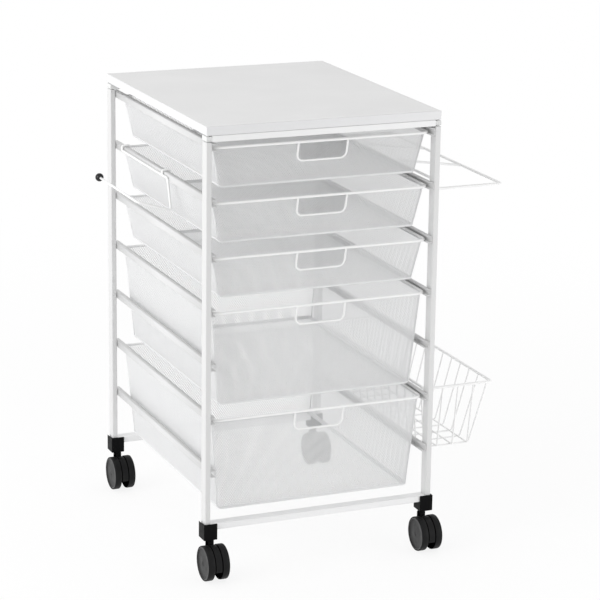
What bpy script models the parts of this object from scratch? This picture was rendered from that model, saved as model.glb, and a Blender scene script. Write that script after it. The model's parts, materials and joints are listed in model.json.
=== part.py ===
"""White wire-drawer cart on casters with a ribbon holder and a rack for gift-wrap rolls.

Metres, +Z up, the drawers open towards -Y. The assembly hangs from one empty, which is moved at the end so that
the middle of the whole object's base lies at the origin.
"""
import math

import bmesh
import bpy
from mathutils import Matrix, Vector

# Clearances
FIT = 0.0003
SHAFT_FIT = 0.0003

# Posts, crossbars and joiners
FRAME_WIDTH = 0.451
FRAME_DEPTH = 0.543
FRAME_HEIGHT = 0.7275
POST_WIDTH = 0.010
POST_DEPTH = 0.022
TUBE_WALL = 0.0012
CROSSBAR_HEIGHT = 0.0115
SPIGOT_LENGTH = 0.018
PANEL_THICKNESS = 0.016
PANEL_EDGE = 0.0008

# Runners
RUNNER_COUNT = 7
RUNNER_PITCH = 0.100
FIRST_RUNNER_DROP = 0.0216
RUNNER_HEIGHT = 0.013
RUNNER_WALL = 0.0012
RUNNER_END_INSET = 0.002
WELD = 0.0004

# Casters
WHEEL_DIAMETER = 0.065
WHEEL_WIDTH = 0.0135
WHEEL_FILLET = 0.003
WHEEL_RECESS = 0.0022
WHEEL_RIM_BAND = 0.0065
AXLE_DIAMETER = 0.006
AXLE_SEAT = 0.009
HOOD_WIDTH = 0.0135
HOOD_INSET = 0.001
HOOD_REAR_ANGLE = -60.0
HOOD_FRONT_ANGLE = 208.0
HOOD_STEPS = 14
WHEEL_SIDE_GAP = 0.0005
CASTER_TRAIL = 0.020
STEM_DIAMETER = 0.0125
STEM_SHOWN = 0.008
STEM_SEAT = 0.012
BRACKET_WALL = 0.003
BRACKET_BASE = 0.018
BRACKET_LIP = 0.0125
BRACKET_INNER = 0.0125
BRACKET_EDGE = 0.002
STEM_INSET_X = 0.0128
STEM_INSET_Y = 0.0115

# Drawers
RIM_WIRE = 0.005
RIM_CORNER = 0.019
DRAWER_PLAY = 0.0036
DRAWER_FRONT_INSET = 0.008
DRAWER_BACK_INSET = 0.0225
SHEET = 0.0012
SIDE_SLOPE = 0.016
END_SLOPE = 0.0145
SHALLOW_DEPTH = 0.0765
DEEP_DEPTH = 0.177
FLOOR_CORNER = 0.007
FOLD = 0.004
WALL_BAR = 0.012
END_OPENINGS = 6
SIDE_OPENINGS = 5
LEAST_OPENING = 0.020
HANDLE_WIDTH = 0.095
HANDLE_DROP = 0.036
HANDLE_CORNER = 0.012
HANDLE_WIRE = 0.004
DRAWER_RUNNERS = (0, 1, 2, 3, 5)
DEEP_DRAWERS = (3, 5)

# Rack for rolls on the right side
RACK_WIRE = 0.005
RACK_REACH = 0.140
RACK_CORNER = 0.006
RACK_INNER_INSET = 0.0045
RACK_END_GAP = 0.0032
LOOP_RUNNER = 1
LOOP_DROP = 0.0217
LOOP_STEP = 0.0105
LOOP_DIVIDERS = 2
BASKET_RUNNER = 5
BASKET_DROP = 0.0033
BASKET_DEPTH = 0.125
BASKET_OUT_TAPER = 0.031
BASKET_IN_TAPER = 0.011
BASKET_END_TAPER = 0.019
GRID_WIRE = 0.003
BASKET_RIBS = 13
BASKET_STRINGERS = 3
HOOK_TAIL = 0.004
HOOK_INSET = 0.077

# Ribbon holder on the left side
RIBBON_WIRE = 0.0045
RIBBON_RUNNER = 1
RIBBON_REAR_HOOK_Y = 0.476
RIBBON_FRONT_HOOK_Y = 0.249
RIBBON_BAR_END_Y = 0.221
RIBBON_BAR_DROP = 0.0092
RIBBON_FOOT_Y = 0.203
RIBBON_FOOT_DROP = 0.065
ROD_OUT = 0.055
ROD_START_Y = 0.209
ROD_RISE = 0.0185
ROD_LENGTH = 0.218
ROD_BEND = 0.008
BALL_DIAMETER = 0.016
BALL_SEAT = 0.009

# Derived heights and faces
AXLE_Z = WHEEL_DIAMETER / 2
BRACKET_Z = WHEEL_DIAMETER + STEM_SHOWN
FRAME_Z = BRACKET_Z + BRACKET_BASE + FIT
FRAME_TOP = FRAME_Z + FRAME_HEIGHT
SIDE_X = FRAME_WIDTH / 2
INNER_X = SIDE_X - POST_WIDTH
FRONT_Y = -FRAME_DEPTH / 2
BACK_Y = FRAME_DEPTH / 2
RUNNER_TOP = RUNNER_HEIGHT / 2
RUNNER_REACH = RUNNER_WALL + DRAWER_PLAY + RIM_WIRE - FIT
RUNNER_X = INNER_X - FIT


def clear_scene():
    """Remove every object that the start-up file holds."""
    for old in list(bpy.data.objects):
        bpy.data.objects.remove(old, do_unlink=True)


def make_material(name, color, roughness, metallic=0.0):
    """Return a Principled material."""
    mat = bpy.data.materials.new(name)
    mat.use_nodes = True
    shader = mat.node_tree.nodes["Principled BSDF"]
    shader.inputs["Base Color"].default_value = (*color, 1.0)
    shader.inputs["Roughness"].default_value = roughness
    shader.inputs["Metallic"].default_value = metallic
    return mat


clear_scene()
ROOT = bpy.data.objects.new("cart", None)
bpy.context.scene.collection.objects.link(ROOT)


def to_object(name, bm, place=(0.0, 0.0, 0.0)):
    """Turn a bmesh into a linked object under the root."""
    bmesh.ops.remove_doubles(bm, verts=bm.verts, dist=1e-6)
    bmesh.ops.recalc_face_normals(bm, faces=bm.faces)
    mesh = bpy.data.meshes.new(name)
    bm.to_mesh(mesh)
    bm.free()
    obj = bpy.data.objects.new(name, mesh)
    bpy.context.scene.collection.objects.link(obj)
    obj.parent = ROOT
    obj.location = place
    return obj


def finish(obj, color, roughness, metallic=0.0):
    """Give an object its own material."""
    obj.data.materials.clear()
    obj.data.materials.append(make_material(obj.name, color, roughness, metallic))
    return obj


def apply_modifiers(obj):
    """Replace an object's mesh by the evaluated one."""
    bpy.context.view_layer.update()
    graph = bpy.context.evaluated_depsgraph_get()
    mesh = bpy.data.meshes.new_from_object(obj.evaluated_get(graph))
    obj.modifiers.clear()
    old = obj.data
    obj.data = mesh
    bpy.data.meshes.remove(old)


def combine(obj, other, operation):
    """Join, cut or intersect one object with another, which is then removed."""
    mod = obj.modifiers.new(operation.lower(), "BOOLEAN")
    mod.operation = operation
    mod.solver = "EXACT"
    mod.object = other
    apply_modifiers(obj)
    bpy.data.objects.remove(other, do_unlink=True)
    return obj


def fuse(name, objects):
    """Union a list of objects into the first one."""
    first = objects[0]
    for other in objects[1:]:
        combine(first, other, "UNION")
    first.name = name
    return first


def box_mesh(low, high):
    """Return a bmesh box between two corners."""
    bm = bmesh.new()
    bmesh.ops.create_cube(bm, size=1.0)
    size = [h - l for l, h in zip(low, high)]
    mid = [(h + l) / 2 for l, h in zip(low, high)]
    bmesh.ops.scale(bm, vec=size, verts=bm.verts)
    bmesh.ops.translate(bm, vec=mid, verts=bm.verts)
    return bm


def box(name, low, high, place=(0.0, 0.0, 0.0)):
    """Return a box object."""
    return to_object(name, box_mesh(low, high), place)


def extrude_profile(points, depth, matrix):
    """Extrude a closed XY profile along +Z by depth and move it by a matrix."""
    bm = bmesh.new()
    face = bm.faces.new([bm.verts.new((x, y, 0.0)) for x, y in points])
    out = bmesh.ops.extrude_face_region(bm, geom=[face])
    tips = [v for v in out["geom"] if isinstance(v, bmesh.types.BMVert)]
    bmesh.ops.translate(bm, vec=(0.0, 0.0, depth), verts=tips)
    bmesh.ops.transform(bm, matrix=matrix, verts=bm.verts)
    return bm


def cylinder(name, radius, low, high, axis, centre, sides=20):
    """Return a cylinder from low to high along an axis letter through a centre."""
    bm = bmesh.new()
    bmesh.ops.create_cone(bm, cap_ends=True, segments=sides, radius1=radius, radius2=radius, depth=high - low)
    bmesh.ops.translate(bm, vec=(0.0, 0.0, (high + low) / 2), verts=bm.verts)
    turn = {"X": Matrix.Rotation(math.pi / 2, 4, "Y"), "Y": Matrix.Rotation(-math.pi / 2, 4, "X"),
            "Z": Matrix.Identity(4)}[axis]
    bmesh.ops.transform(bm, matrix=Matrix.Translation(centre) @ turn, verts=bm.verts)
    return to_object(name, bm)


def lathe(name, profile, place, sides=20):
    """Revolve (x, radius) points about the local X axis, with poles where the radius is zero."""
    bm = bmesh.new()
    rings = []
    for x, radius in profile:
        if radius == 0.0:
            rings.append([bm.verts.new((x, 0.0, 0.0))])
            continue
        turns = [2 * math.pi * i / sides for i in range(sides)]
        rings.append([bm.verts.new((x, radius * math.cos(a), radius * math.sin(a))) for a in turns])
    pairs = list(zip(rings, rings[1:]))
    if profile[0][1] > 0.0:
        pairs.append((rings[-1], rings[0]))
    for one, two in pairs:
        for i in range(sides):
            j = (i + 1) % sides
            if len(one) == 1:
                bm.faces.new((one[0], two[i], two[j]))
            elif len(two) == 1:
                bm.faces.new((one[j], one[i], two[0]))
            else:
                bm.faces.new((one[j], one[i], two[i], two[j]))
    return to_object(name, bm, place)


def fillet_path(corners, closed=False, steps=3):
    """Return points of a polyline whose corners (point, radius) are rounded."""
    count = len(corners)
    points = []
    for i, (corner, radius) in enumerate(corners):
        here = Vector(corner)
        if not closed and i in (0, count - 1) or radius == 0.0:
            points.append(here)
            continue
        before = (Vector(corners[i - 1][0]) - here).normalized()
        after = (Vector(corners[(i + 1) % count][0]) - here).normalized()
        half = before.angle(after) / 2
        start = here + before * (radius / math.tan(half))
        centre = here + (before + after).normalized() * (radius / math.sin(half))
        arm = start - centre
        axis = before.cross(after).normalized()
        sweep = -(math.pi - 2 * half)
        for k in range(steps + 1):
            points.append(centre + Matrix.Rotation(sweep * k / steps, 3, axis) @ arm)
    return points


def wire(name, points, diameter, closed=False, sides=8, place=(0.0, 0.0, 0.0)):
    """Sweep a round section along a path and cap its ends."""
    bm = bmesh.new()
    count = len(points)
    rings = []
    normal = None
    last = None
    for i, point in enumerate(points):
        if closed:
            along = (points[(i + 1) % count] - points[i - 1]).normalized()
        else:
            along = (points[min(i + 1, count - 1)] - points[max(i - 1, 0)]).normalized()
        if normal is None:
            guide = Vector((0.0, 0.0, 1.0)) if abs(along.z) < 0.9 else Vector((1.0, 0.0, 0.0))
            normal = (guide - along * guide.dot(along)).normalized()
        else:
            normal = (last.rotation_difference(along) @ normal)
            normal = (normal - along * normal.dot(along)).normalized()
        last = along
        side = along.cross(normal)
        ring = []
        for k in range(sides):
            a = 2 * math.pi * (k + 0.5) / sides
            ring.append(bm.verts.new(point + (normal * math.cos(a) + side * math.sin(a)) * diameter / 2))
        rings.append(ring)
    pairs = list(zip(rings, rings[1:]))
    if closed:
        pairs.append((rings[-1], rings[0]))
    for one, two in pairs:
        for k in range(sides):
            j = (k + 1) % sides
            bm.faces.new((one[k], one[j], two[j], two[k]))
    if not closed:
        bm.faces.new(list(reversed(rings[0])))
        bm.faces.new(rings[-1])
    return to_object(name, bm, place)


def rounded_rectangle(width, length, radius, steps=3):
    """Return XY points of a rounded rectangle about the origin, counter-clockwise."""
    points = []
    for sx, sy, start in ((1, 1, 0.0), (-1, 1, 90.0), (-1, -1, 180.0), (1, -1, 270.0)):
        cx = sx * (width / 2 - radius)
        cy = sy * (length / 2 - radius)
        for k in range(steps + 1):
            a = math.radians(start + 90.0 * k / steps)
            points.append((cx + radius * math.cos(a), cy + radius * math.sin(a)))
    return points


WHITE_STEEL = ((0.88, 0.88, 0.87), 0.35)
WHITE_PANEL = ((0.90, 0.90, 0.89), 0.45)
PALE_PLASTIC = ((0.84, 0.84, 0.83), 0.5)
BLACK_PLASTIC = ((0.015, 0.015, 0.016), 0.45)
GREY_PLASTIC = ((0.05, 0.05, 0.052), 0.5)


def runner_z(index):
    """Return the height of a runner's mid-line."""
    return FRAME_TOP - FIRST_RUNNER_DROP - index * RUNNER_PITCH


def post(name, sign, front):
    """Build one upright of rectangular tube, from the bracket's floor to the top joiner."""
    low_z = FRAME_Z
    high_z = FRAME_TOP - CROSSBAR_HEIGHT - FIT
    x0, x1 = sorted((sign * INNER_X, sign * SIDE_X))
    tube = box(name, (x0, front, low_z), (x1, front + POST_DEPTH, high_z))
    hollow = box("hollow", (x0 + TUBE_WALL, front + TUBE_WALL, low_z - TUBE_WALL),
                 (x1 - TUBE_WALL, front + POST_DEPTH - TUBE_WALL, high_z + TUBE_WALL))
    return finish(combine(tube, hollow, "DIFFERENCE"), *WHITE_STEEL)


def runner(name, sign, index):
    """Build one C-section runner across the inner faces of a side's two posts."""
    wall = RUNNER_WALL
    half = RUNNER_HEIGHT / 2
    mid = runner_z(index)
    section = [(0.0, -half), (0.0, half), (-RUNNER_REACH, half), (-RUNNER_REACH, half - wall),
               (-wall, half - wall), (-wall, -half + wall), (-RUNNER_REACH, -half + wall),
               (-RUNNER_REACH, -half)]
    start = FRONT_Y + RUNNER_END_INSET
    length = FRAME_DEPTH - 2 * RUNNER_END_INSET
    bm = bmesh.new()
    near = [bm.verts.new((sign * (RUNNER_X + x), start, mid + z)) for x, z in section]
    far = [bm.verts.new((sign * (RUNNER_X + x), start + length, mid + z)) for x, z in section]
    bm.faces.new(near)
    bm.faces.new(list(reversed(far)))
    for i in range(len(near)):
        j = (i + 1) % len(near)
        bm.faces.new((near[j], near[i], far[i], far[j]))
    return finish(to_object(name, bm), *WHITE_STEEL)


def crossbar(name, front, low_z):
    """Build a flat tube between the joiners."""
    half = INNER_X - FIT
    bar = box(name, (-half, front, low_z), (half, front + POST_DEPTH, low_z + CROSSBAR_HEIGHT))
    hollow = box("hollow", (-half - TUBE_WALL, front + TUBE_WALL, low_z + TUBE_WALL),
                 (half + TUBE_WALL, front + POST_DEPTH - TUBE_WALL, low_z + CROSSBAR_HEIGHT - TUBE_WALL))
    return finish(combine(bar, hollow, "DIFFERENCE"), *WHITE_STEEL)


def joiner(name, sign, front):
    """Build a top corner joiner with one spigot into the post and one into the crossbar."""
    low_z = FRAME_TOP - CROSSBAR_HEIGHT
    x0, x1 = sorted((sign * INNER_X, sign * SIDE_X))
    block = box(name, (x0, front, low_z), (x1, front + POST_DEPTH, FRAME_TOP))
    skin = TUBE_WALL + FIT
    spigot = box("spigot", (x0 + skin, front + skin, low_z - SPIGOT_LENGTH),
                 (x1 - skin, front + POST_DEPTH - skin, low_z + WELD))
    combine(block, spigot, "UNION")
    b0, b1 = sorted((sign * (INNER_X + WELD), sign * (INNER_X - SPIGOT_LENGTH)))
    tongue = box("tongue", (b0, front + skin, low_z + skin),
                 (b1, front + POST_DEPTH - skin, FRAME_TOP - skin))
    return finish(combine(block, tongue, "UNION"), *PALE_PLASTIC)


def top_panel():
    """Build the laminated top."""
    low = FRAME_TOP + FIT
    panel = box("top_panel", (-SIDE_X, FRONT_Y, 0.0), (SIDE_X, BACK_Y, PANEL_THICKNESS), (0.0, 0.0, low))
    mod = panel.modifiers.new("edge", "BEVEL")
    mod.width = PANEL_EDGE
    mod.segments = 2
    apply_modifiers(panel)
    return finish(panel, *WHITE_PANEL)


def caster(tag, sign, front):
    """Build one caster: bracket, body with hood, stem and axle ends, and two wheels.

    Args:
        tag: corner letters for the names.
        sign: -1 at the left side, 1 at the right side.
        front: Y of the post's front face.
    """
    stem_x = sign * (SIDE_X - STEM_INSET_X)
    stem_y = front + STEM_INSET_Y
    gap = FIT
    x_out = sign * (SIDE_X + gap + BRACKET_WALL)
    x_in = sign * (INNER_X - BRACKET_INNER)
    x0, x1 = sorted((x_out, x_in))
    y0 = front - gap - BRACKET_WALL
    y1 = front + POST_DEPTH + gap + BRACKET_WALL
    cup_top = BRACKET_Z + BRACKET_BASE + BRACKET_LIP
    cup = box("caster_bracket_" + tag, (x0, y0, BRACKET_Z), (x1, y1, cup_top))
    mod = cup.modifiers.new("edge", "BEVEL")
    mod.width = BRACKET_EDGE
    mod.segments = 2
    apply_modifiers(cup)
    p_out = sign * (SIDE_X + gap)
    p_in = sign * (INNER_X - BRACKET_INNER - BRACKET_WALL)
    p0, p1 = sorted((p_out, p_in))
    pocket = box("pocket", (p0, front - gap, BRACKET_Z + BRACKET_BASE),
                 (p1, front + POST_DEPTH + gap, cup_top + BRACKET_WALL))
    combine(cup, pocket, "DIFFERENCE")
    bore = cylinder("bore", STEM_DIAMETER / 2 + SHAFT_FIT, BRACKET_Z - BRACKET_WALL, BRACKET_Z + STEM_SEAT + FIT, "Z",
                    (stem_x, stem_y, 0.0), 16)
    combine(cup, bore, "DIFFERENCE")
    skin = TUBE_WALL + FIT
    s0, s1 = sorted((sign * (INNER_X + skin), sign * (SIDE_X - skin)))
    spigot = box("spigot", (s0, front + skin, FRAME_Z - FIT - WELD),
                 (s1, front + POST_DEPTH - skin, FRAME_Z + SPIGOT_LENGTH))
    combine(cup, spigot, "UNION")
    finish(cup, *BLACK_PLASTIC)

    axle_y = stem_y - CASTER_TRAIL
    hood_radius = WHEEL_DIAMETER / 2 - HOOD_INSET
    stem = cylinder("stem", STEM_DIAMETER / 2, AXLE_Z + AXLE_DIAMETER, BRACKET_Z + STEM_SEAT, "Z",
                    (stem_x, stem_y, 0.0), 16)
    points = []
    for k in range(HOOD_STEPS + 1):
        a = math.radians(HOOD_REAR_ANGLE + (HOOD_FRONT_ANGLE - HOOD_REAR_ANGLE) * k / HOOD_STEPS)
        points.append((axle_y + hood_radius * math.cos(a), AXLE_Z + hood_radius * math.sin(a)))
    low_edge = AXLE_DIAMETER
    points.append((axle_y - low_edge, AXLE_Z - low_edge))
    points.append((axle_y, AXLE_Z - 2 * low_edge))
    bm = bmesh.new()
    left = [bm.verts.new((stem_x - HOOD_WIDTH / 2, y, z)) for y, z in points]
    right = [bm.verts.new((stem_x + HOOD_WIDTH / 2, y, z)) for y, z in points]
    bm.faces.new(left)
    bm.faces.new(list(reversed(right)))
    for i in range(len(left)):
        j = (i + 1) % len(left)
        bm.faces.new((left[j], left[i], right[i], right[j]))
    hood = to_object("hood", bm)
    combine(hood, stem, "UNION")
    reach = HOOD_WIDTH / 2 + WHEEL_SIDE_GAP + AXLE_SEAT
    axle = cylinder("axle", AXLE_DIAMETER / 2, -reach, reach, "X", (stem_x, axle_y, AXLE_Z), 12)
    combine(hood, axle, "UNION")
    hood.name = "caster_body_" + tag
    hood.data.transform(Matrix.Translation((-stem_x, -stem_y, 0.0)))
    hood.location = (stem_x, stem_y, 0.0)
    finish(hood, *BLACK_PLASTIC)

    radius = WHEEL_DIAMETER / 2
    bore_r = AXLE_DIAMETER / 2 + SHAFT_FIT
    seat = AXLE_SEAT + FIT
    w = WHEEL_WIDTH
    f = WHEEL_FILLET
    profile = [(seat, 0.0), (seat, bore_r), (0.0, bore_r), (0.0, radius - f)]
    for k in range(1, 3):
        a = math.radians(90.0 * k / 2)
        profile.append((f - f * math.cos(a), radius - f + f * math.sin(a)))
    for k in range(0, 3):
        a = math.radians(90.0 * k / 2)
        profile.append((w - f + f * math.sin(a), radius - f + f * math.cos(a)))
    band = radius - WHEEL_RIM_BAND
    profile.append((w, band))
    profile.append((w - WHEEL_RECESS, band - WHEEL_RECESS))
    profile.append((w - WHEEL_RECESS, 0.0))
    for side, word in ((-1, "left"), (1, "right")):
        points = [(side * x, r) for x, r in profile]
        wheel = lathe("caster_wheel_" + tag + "_" + word, points,
                      (stem_x + side * (HOOD_WIDTH / 2 + WHEEL_SIDE_GAP), axle_y, AXLE_Z))
        finish(wheel, *GREY_PLASTIC)


def drawer(number, index):
    """Build one drawer: a tapered basket and a wire rim with its handle loop.

    Args:
        number: the drawer's place from the top, for its name.
        index: the runner it rides on.
    """
    depth = DEEP_DEPTH if index in DEEP_DRAWERS else SHALLOW_DEPTH
    width = 2 * (RUNNER_X - RUNNER_WALL - DRAWER_PLAY)
    length = FRAME_DEPTH - DRAWER_FRONT_INSET - DRAWER_BACK_INSET
    mid_y = FRONT_Y + DRAWER_FRONT_INSET + length / 2
    rim_z = runner_z(index) - RUNNER_HEIGHT / 2 + RUNNER_WALL + FIT + RIM_WIRE / 2
    place = (0.0, mid_y, rim_z)
    r = RIM_WIRE / 2
    outline = rounded_rectangle(width - 2 * r, length - 2 * r, RIM_CORNER - r, 2)
    path = [Vector((x, y, 0.0)) for x, y in outline]
    rim = wire("rim", path, RIM_WIRE, closed=True, place=place)

    slant = END_SLOPE / depth
    front_y = -length / 2 + r
    half = HANDLE_WIDTH / 2

    def on_front(x, drop):
        return (x, front_y + (drop * slant if drop > 0.0 else 0.0) + (r if drop > 0.0 else 0.0), -drop)

    corner = [(on_front(-half, 0.0), 0.0), (on_front(-half, HANDLE_DROP), HANDLE_CORNER),
              (on_front(half, HANDLE_DROP), HANDLE_CORNER), (on_front(half, 0.0), 0.0)]
    loop = wire("loop", fillet_path(corner), HANDLE_WIRE, sides=6, place=place)
    combine(rim, loop, "UNION")
    rim.name = "drawer_%d_rim" % number
    finish(rim, *WHITE_STEEL)

    top_w = width - 2 * RIM_WIRE - 2 * FIT
    top_l = length - 2 * RIM_WIRE - 2 * FIT
    top_c = RIM_CORNER - RIM_WIRE

    def ring(bm, drop, inset):
        share = drop / depth
        w = top_w - 2 * SIDE_SLOPE * share - 2 * inset
        l = top_l - 2 * END_SLOPE * share - 2 * inset
        corner = top_c + (FLOOR_CORNER - top_c) * share
        outline = rounded_rectangle(w, l, max(corner - inset, SHEET), 2)
        return [bm.verts.new((x, y, -drop)) for x, y in outline]

    bm = bmesh.new()
    outer = [ring(bm, 0.0, 0.0), ring(bm, depth - FOLD, 0.0), ring(bm, depth, FOLD)]
    inner = [ring(bm, 0.0, SHEET), ring(bm, depth - FOLD - SHEET / 2, SHEET),
             ring(bm, depth - SHEET, FOLD + SHEET / 2)]
    chain = [outer[2], outer[1], outer[0], inner[0], inner[1], inner[2]]
    for one, two in zip(chain, chain[1:]):
        for i in range(len(one)):
            j = (i + 1) % len(one)
            bm.faces.new((one[i], one[j], two[j], two[i]))
    bm.faces.new(list(reversed(outer[2])))
    bm.faces.new(inner[2])
    pan = to_object("drawer_%d_mesh" % number, bm, place)
    cut_half = half + HANDLE_WIRE / 2 + FIT
    cut_drop = HANDLE_DROP + HANDLE_WIRE / 2 + FIT
    cut_corner = HANDLE_CORNER + HANDLE_WIRE / 2 + FIT
    outline = fillet_path([((-cut_half, RIM_WIRE, 0.0), 0.0), ((-cut_half, -cut_drop, 0.0), cut_corner),
                           ((cut_half, -cut_drop, 0.0), cut_corner), ((cut_half, RIM_WIRE, 0.0), 0.0)])
    behind = Matrix.Translation((0.0, -length / 2 + RIM_CORNER + END_SLOPE, 0.0))
    turn = behind @ Matrix.Rotation(math.pi / 2, 4, "X")
    notch = extrude_profile([(v.x, v.y) for v in outline], RIM_CORNER + 2 * END_SLOPE, turn)
    cutter = to_object("cutter", notch, place)
    combine(pan, cutter, "DIFFERENCE")

    top = -WALL_BAR
    floor = WALL_BAR + FOLD - depth
    end_span = top_w / 2 - SIDE_SLOPE - FLOOR_CORNER
    side_span = top_l / 2 - END_SLOPE - FLOOR_CORNER
    for sign in (-1, 1):
        under = -cut_drop - WALL_BAR if sign < 0 else top
        windows = wall_openings(end_span, END_OPENINGS, (floor, top), cut_half, under)
        wall = (sign * side_span, sign * length / 2)
        combine(pan, wall_cutter(windows, wall, "Y", place), "DIFFERENCE")
        windows = wall_openings(side_span, SIDE_OPENINGS, (floor, top), 0.0, top)
        wall = (sign * end_span, sign * width / 2)
        combine(pan, wall_cutter(windows, wall, "X", place), "DIFFERENCE")
    finish(pan, *WHITE_STEEL)


def wall_openings(span, count, heights, keep_half, keep_top):
    """Return the openings of one drawer wall as (start, end, bottom, top).

    Args:
        span: half the length of wall that may be opened.
        count: how many openings lie side by side.
        heights: the bottom and top of the openings.
        keep_half: half the width of the stretch in the middle that the handle takes.
        keep_top: the top of the openings below that stretch.
    """
    pitch = 2 * span / count
    half = (pitch - WALL_BAR) / 2
    windows = []
    for k in range(count):
        middle = pitch * (k + 0.5) - span
        inside = abs(middle) - half < keep_half + WALL_BAR / 2
        top = keep_top if inside else heights[1]
        if top - heights[0] >= LEAST_OPENING:
            windows.append((middle - half, middle + half, heights[0], top))
    return windows


def wall_cutter(windows, wall, axis, place):
    """Return one object of boxes that cut a wall's openings.

    Args:
        windows: the openings from wall_openings.
        wall: the depths between which each box passes through the wall.
        axis: the axis letter that the boxes run along.
        place: the drawer's place.
    """
    near, far = sorted(wall)
    cutter = bmesh.new()
    for start, end, bottom, top in windows:
        low, high = (start, near, bottom), (end, far, top)
        if axis == "X":
            low, high = (near, start, bottom), (far, end, top)
        part = box_mesh(low, high)
        block = bpy.data.meshes.new("opening")
        part.to_mesh(block)
        part.free()
        cutter.from_mesh(block)
        bpy.data.meshes.remove(block)
    return to_object("openings", cutter, place)


def rack_hook(y, top_z, wire_d, from_x, rise=0.0):
    """Return a short hook that lies over a runner's top flange and turns down inside it.

    Args:
        y: where it stands along the runner.
        top_z: height of its centre line over the flange.
        wire_d: its diameter.
        from_x: where it starts on the rack's inner wire.
        rise: how far it rises from that wire.
    """
    edge = RUNNER_X - RUNNER_REACH - FIT - wire_d / 2
    tail = top_z - wire_d / 2 - HOOK_TAIL
    turn = wire_d * 0.6
    corners = [((edge, y, top_z), turn), ((edge, y, tail), 0.0)]
    if rise > 0.0:
        start = [((from_x, y, top_z - rise), 0.0), ((from_x, y, top_z), min(turn, rise * 0.8))]
    else:
        start = [((from_x, y, top_z), 0.0)]
    return wire("hook", fillet_path(start + corners, steps=3), wire_d)


def roll_loop():
    """Build the upper loop that keeps rolls upright."""
    r = RACK_WIRE / 2
    seat_z = runner_z(LOOP_RUNNER) + RUNNER_TOP + FIT + r
    low_z = seat_z - LOOP_DROP
    y0 = FRONT_Y + POST_DEPTH + RACK_END_GAP + r
    y1 = BACK_Y - POST_DEPTH - RACK_END_GAP - r
    xi = SIDE_X - RACK_INNER_INSET
    xm = SIDE_X + LOOP_STEP
    xo = SIDE_X + RACK_REACH
    bend = RACK_CORNER / 2
    corners = [((xi, y0, seat_z), bend), ((xm, y0, low_z), bend), ((xo, y0, low_z), RACK_CORNER),
               ((xo, y1, low_z), RACK_CORNER), ((xm, y1, low_z), bend), ((xi, y1, seat_z), bend)]
    pieces = [wire("roll_loop", fillet_path(corners, closed=True, steps=2), RACK_WIRE, closed=True)]
    for k in range(LOOP_DIVIDERS):
        y = y0 + (y1 - y0) * (k + 1) / (LOOP_DIVIDERS + 1)
        ends = [Vector((xi - r / 2, y, seat_z)), Vector((xo + r / 2, y, low_z))]
        pieces.append(wire("divider", ends, RACK_WIRE * 0.96))
    for y in (y0 + HOOK_INSET, y1 - HOOK_INSET):
        pieces.append(rack_hook(y, seat_z, RACK_WIRE * 0.96, xi + r / 2))
    return finish(fuse("roll_loop", pieces), *WHITE_STEEL)


def roll_basket():
    """Build the tapered welded-wire basket that the rolls stand in."""
    r = RACK_WIRE / 2
    g = GRID_WIRE
    seat_z = runner_z(BASKET_RUNNER) + RUNNER_TOP + FIT + r
    rim_z = seat_z - BASKET_DROP
    floor_z = rim_z - BASKET_DEPTH
    y0 = FRONT_Y + POST_DEPTH + RACK_END_GAP + r
    y1 = BACK_Y - POST_DEPTH - RACK_END_GAP - r
    xi = SIDE_X - RACK_INNER_INSET
    xo = SIDE_X + RACK_REACH - RACK_WIRE
    corners = [((xi, y0, rim_z), RACK_CORNER), ((xo, y0, rim_z), RACK_CORNER),
               ((xo, y1, rim_z), RACK_CORNER), ((xi, y1, rim_z), RACK_CORNER)]
    pieces = [wire("roll_basket", fillet_path(corners, closed=True), RACK_WIRE, closed=True)]
    bx0 = SIDE_X + BASKET_IN_TAPER
    bx1 = xo - BASKET_OUT_TAPER
    by0 = y0 + BASKET_END_TAPER
    by1 = y1 - BASKET_END_TAPER
    span = by1 - by0
    for k in range(BASKET_RIBS):
        share = k / (BASKET_RIBS - 1)
        y_low = by0 + span * (0.02 + 0.96 * share)
        y_top = y0 + RACK_CORNER + (y1 - y0 - 2 * RACK_CORNER) * (0.02 + 0.96 * share)
        corners = [((xi, y_top, rim_z), 0.0), ((bx0, y_low, floor_z), 0.006), ((bx1, y_low, floor_z), 0.006),
                   ((xo, y_top, rim_z), 0.0)]
        pieces.append(wire("rib", fillet_path(corners, steps=1), g, sides=5))
    for k in range(BASKET_STRINGERS):
        share = (k + 1) / (BASKET_STRINGERS + 1)
        x = xi + RACK_CORNER + (xo - xi - 2 * RACK_CORNER) * share
        lift = floor_z + g * 0.7
        corners = [((x, y0, rim_z), 0.0), ((x, by0, lift), 0.006), ((x, by1, lift), 0.006),
                   ((x, y1, rim_z), 0.0)]
        pieces.append(wire("stringer", fillet_path(corners, steps=1), g, sides=5))
    for y in (y0 + HOOK_INSET, y1 - HOOK_INSET):
        pieces.append(rack_hook(y, seat_z, RACK_WIRE * 0.96, xi, BASKET_DROP))
    return finish(fuse("roll_basket", pieces), *WHITE_STEEL)


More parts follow.
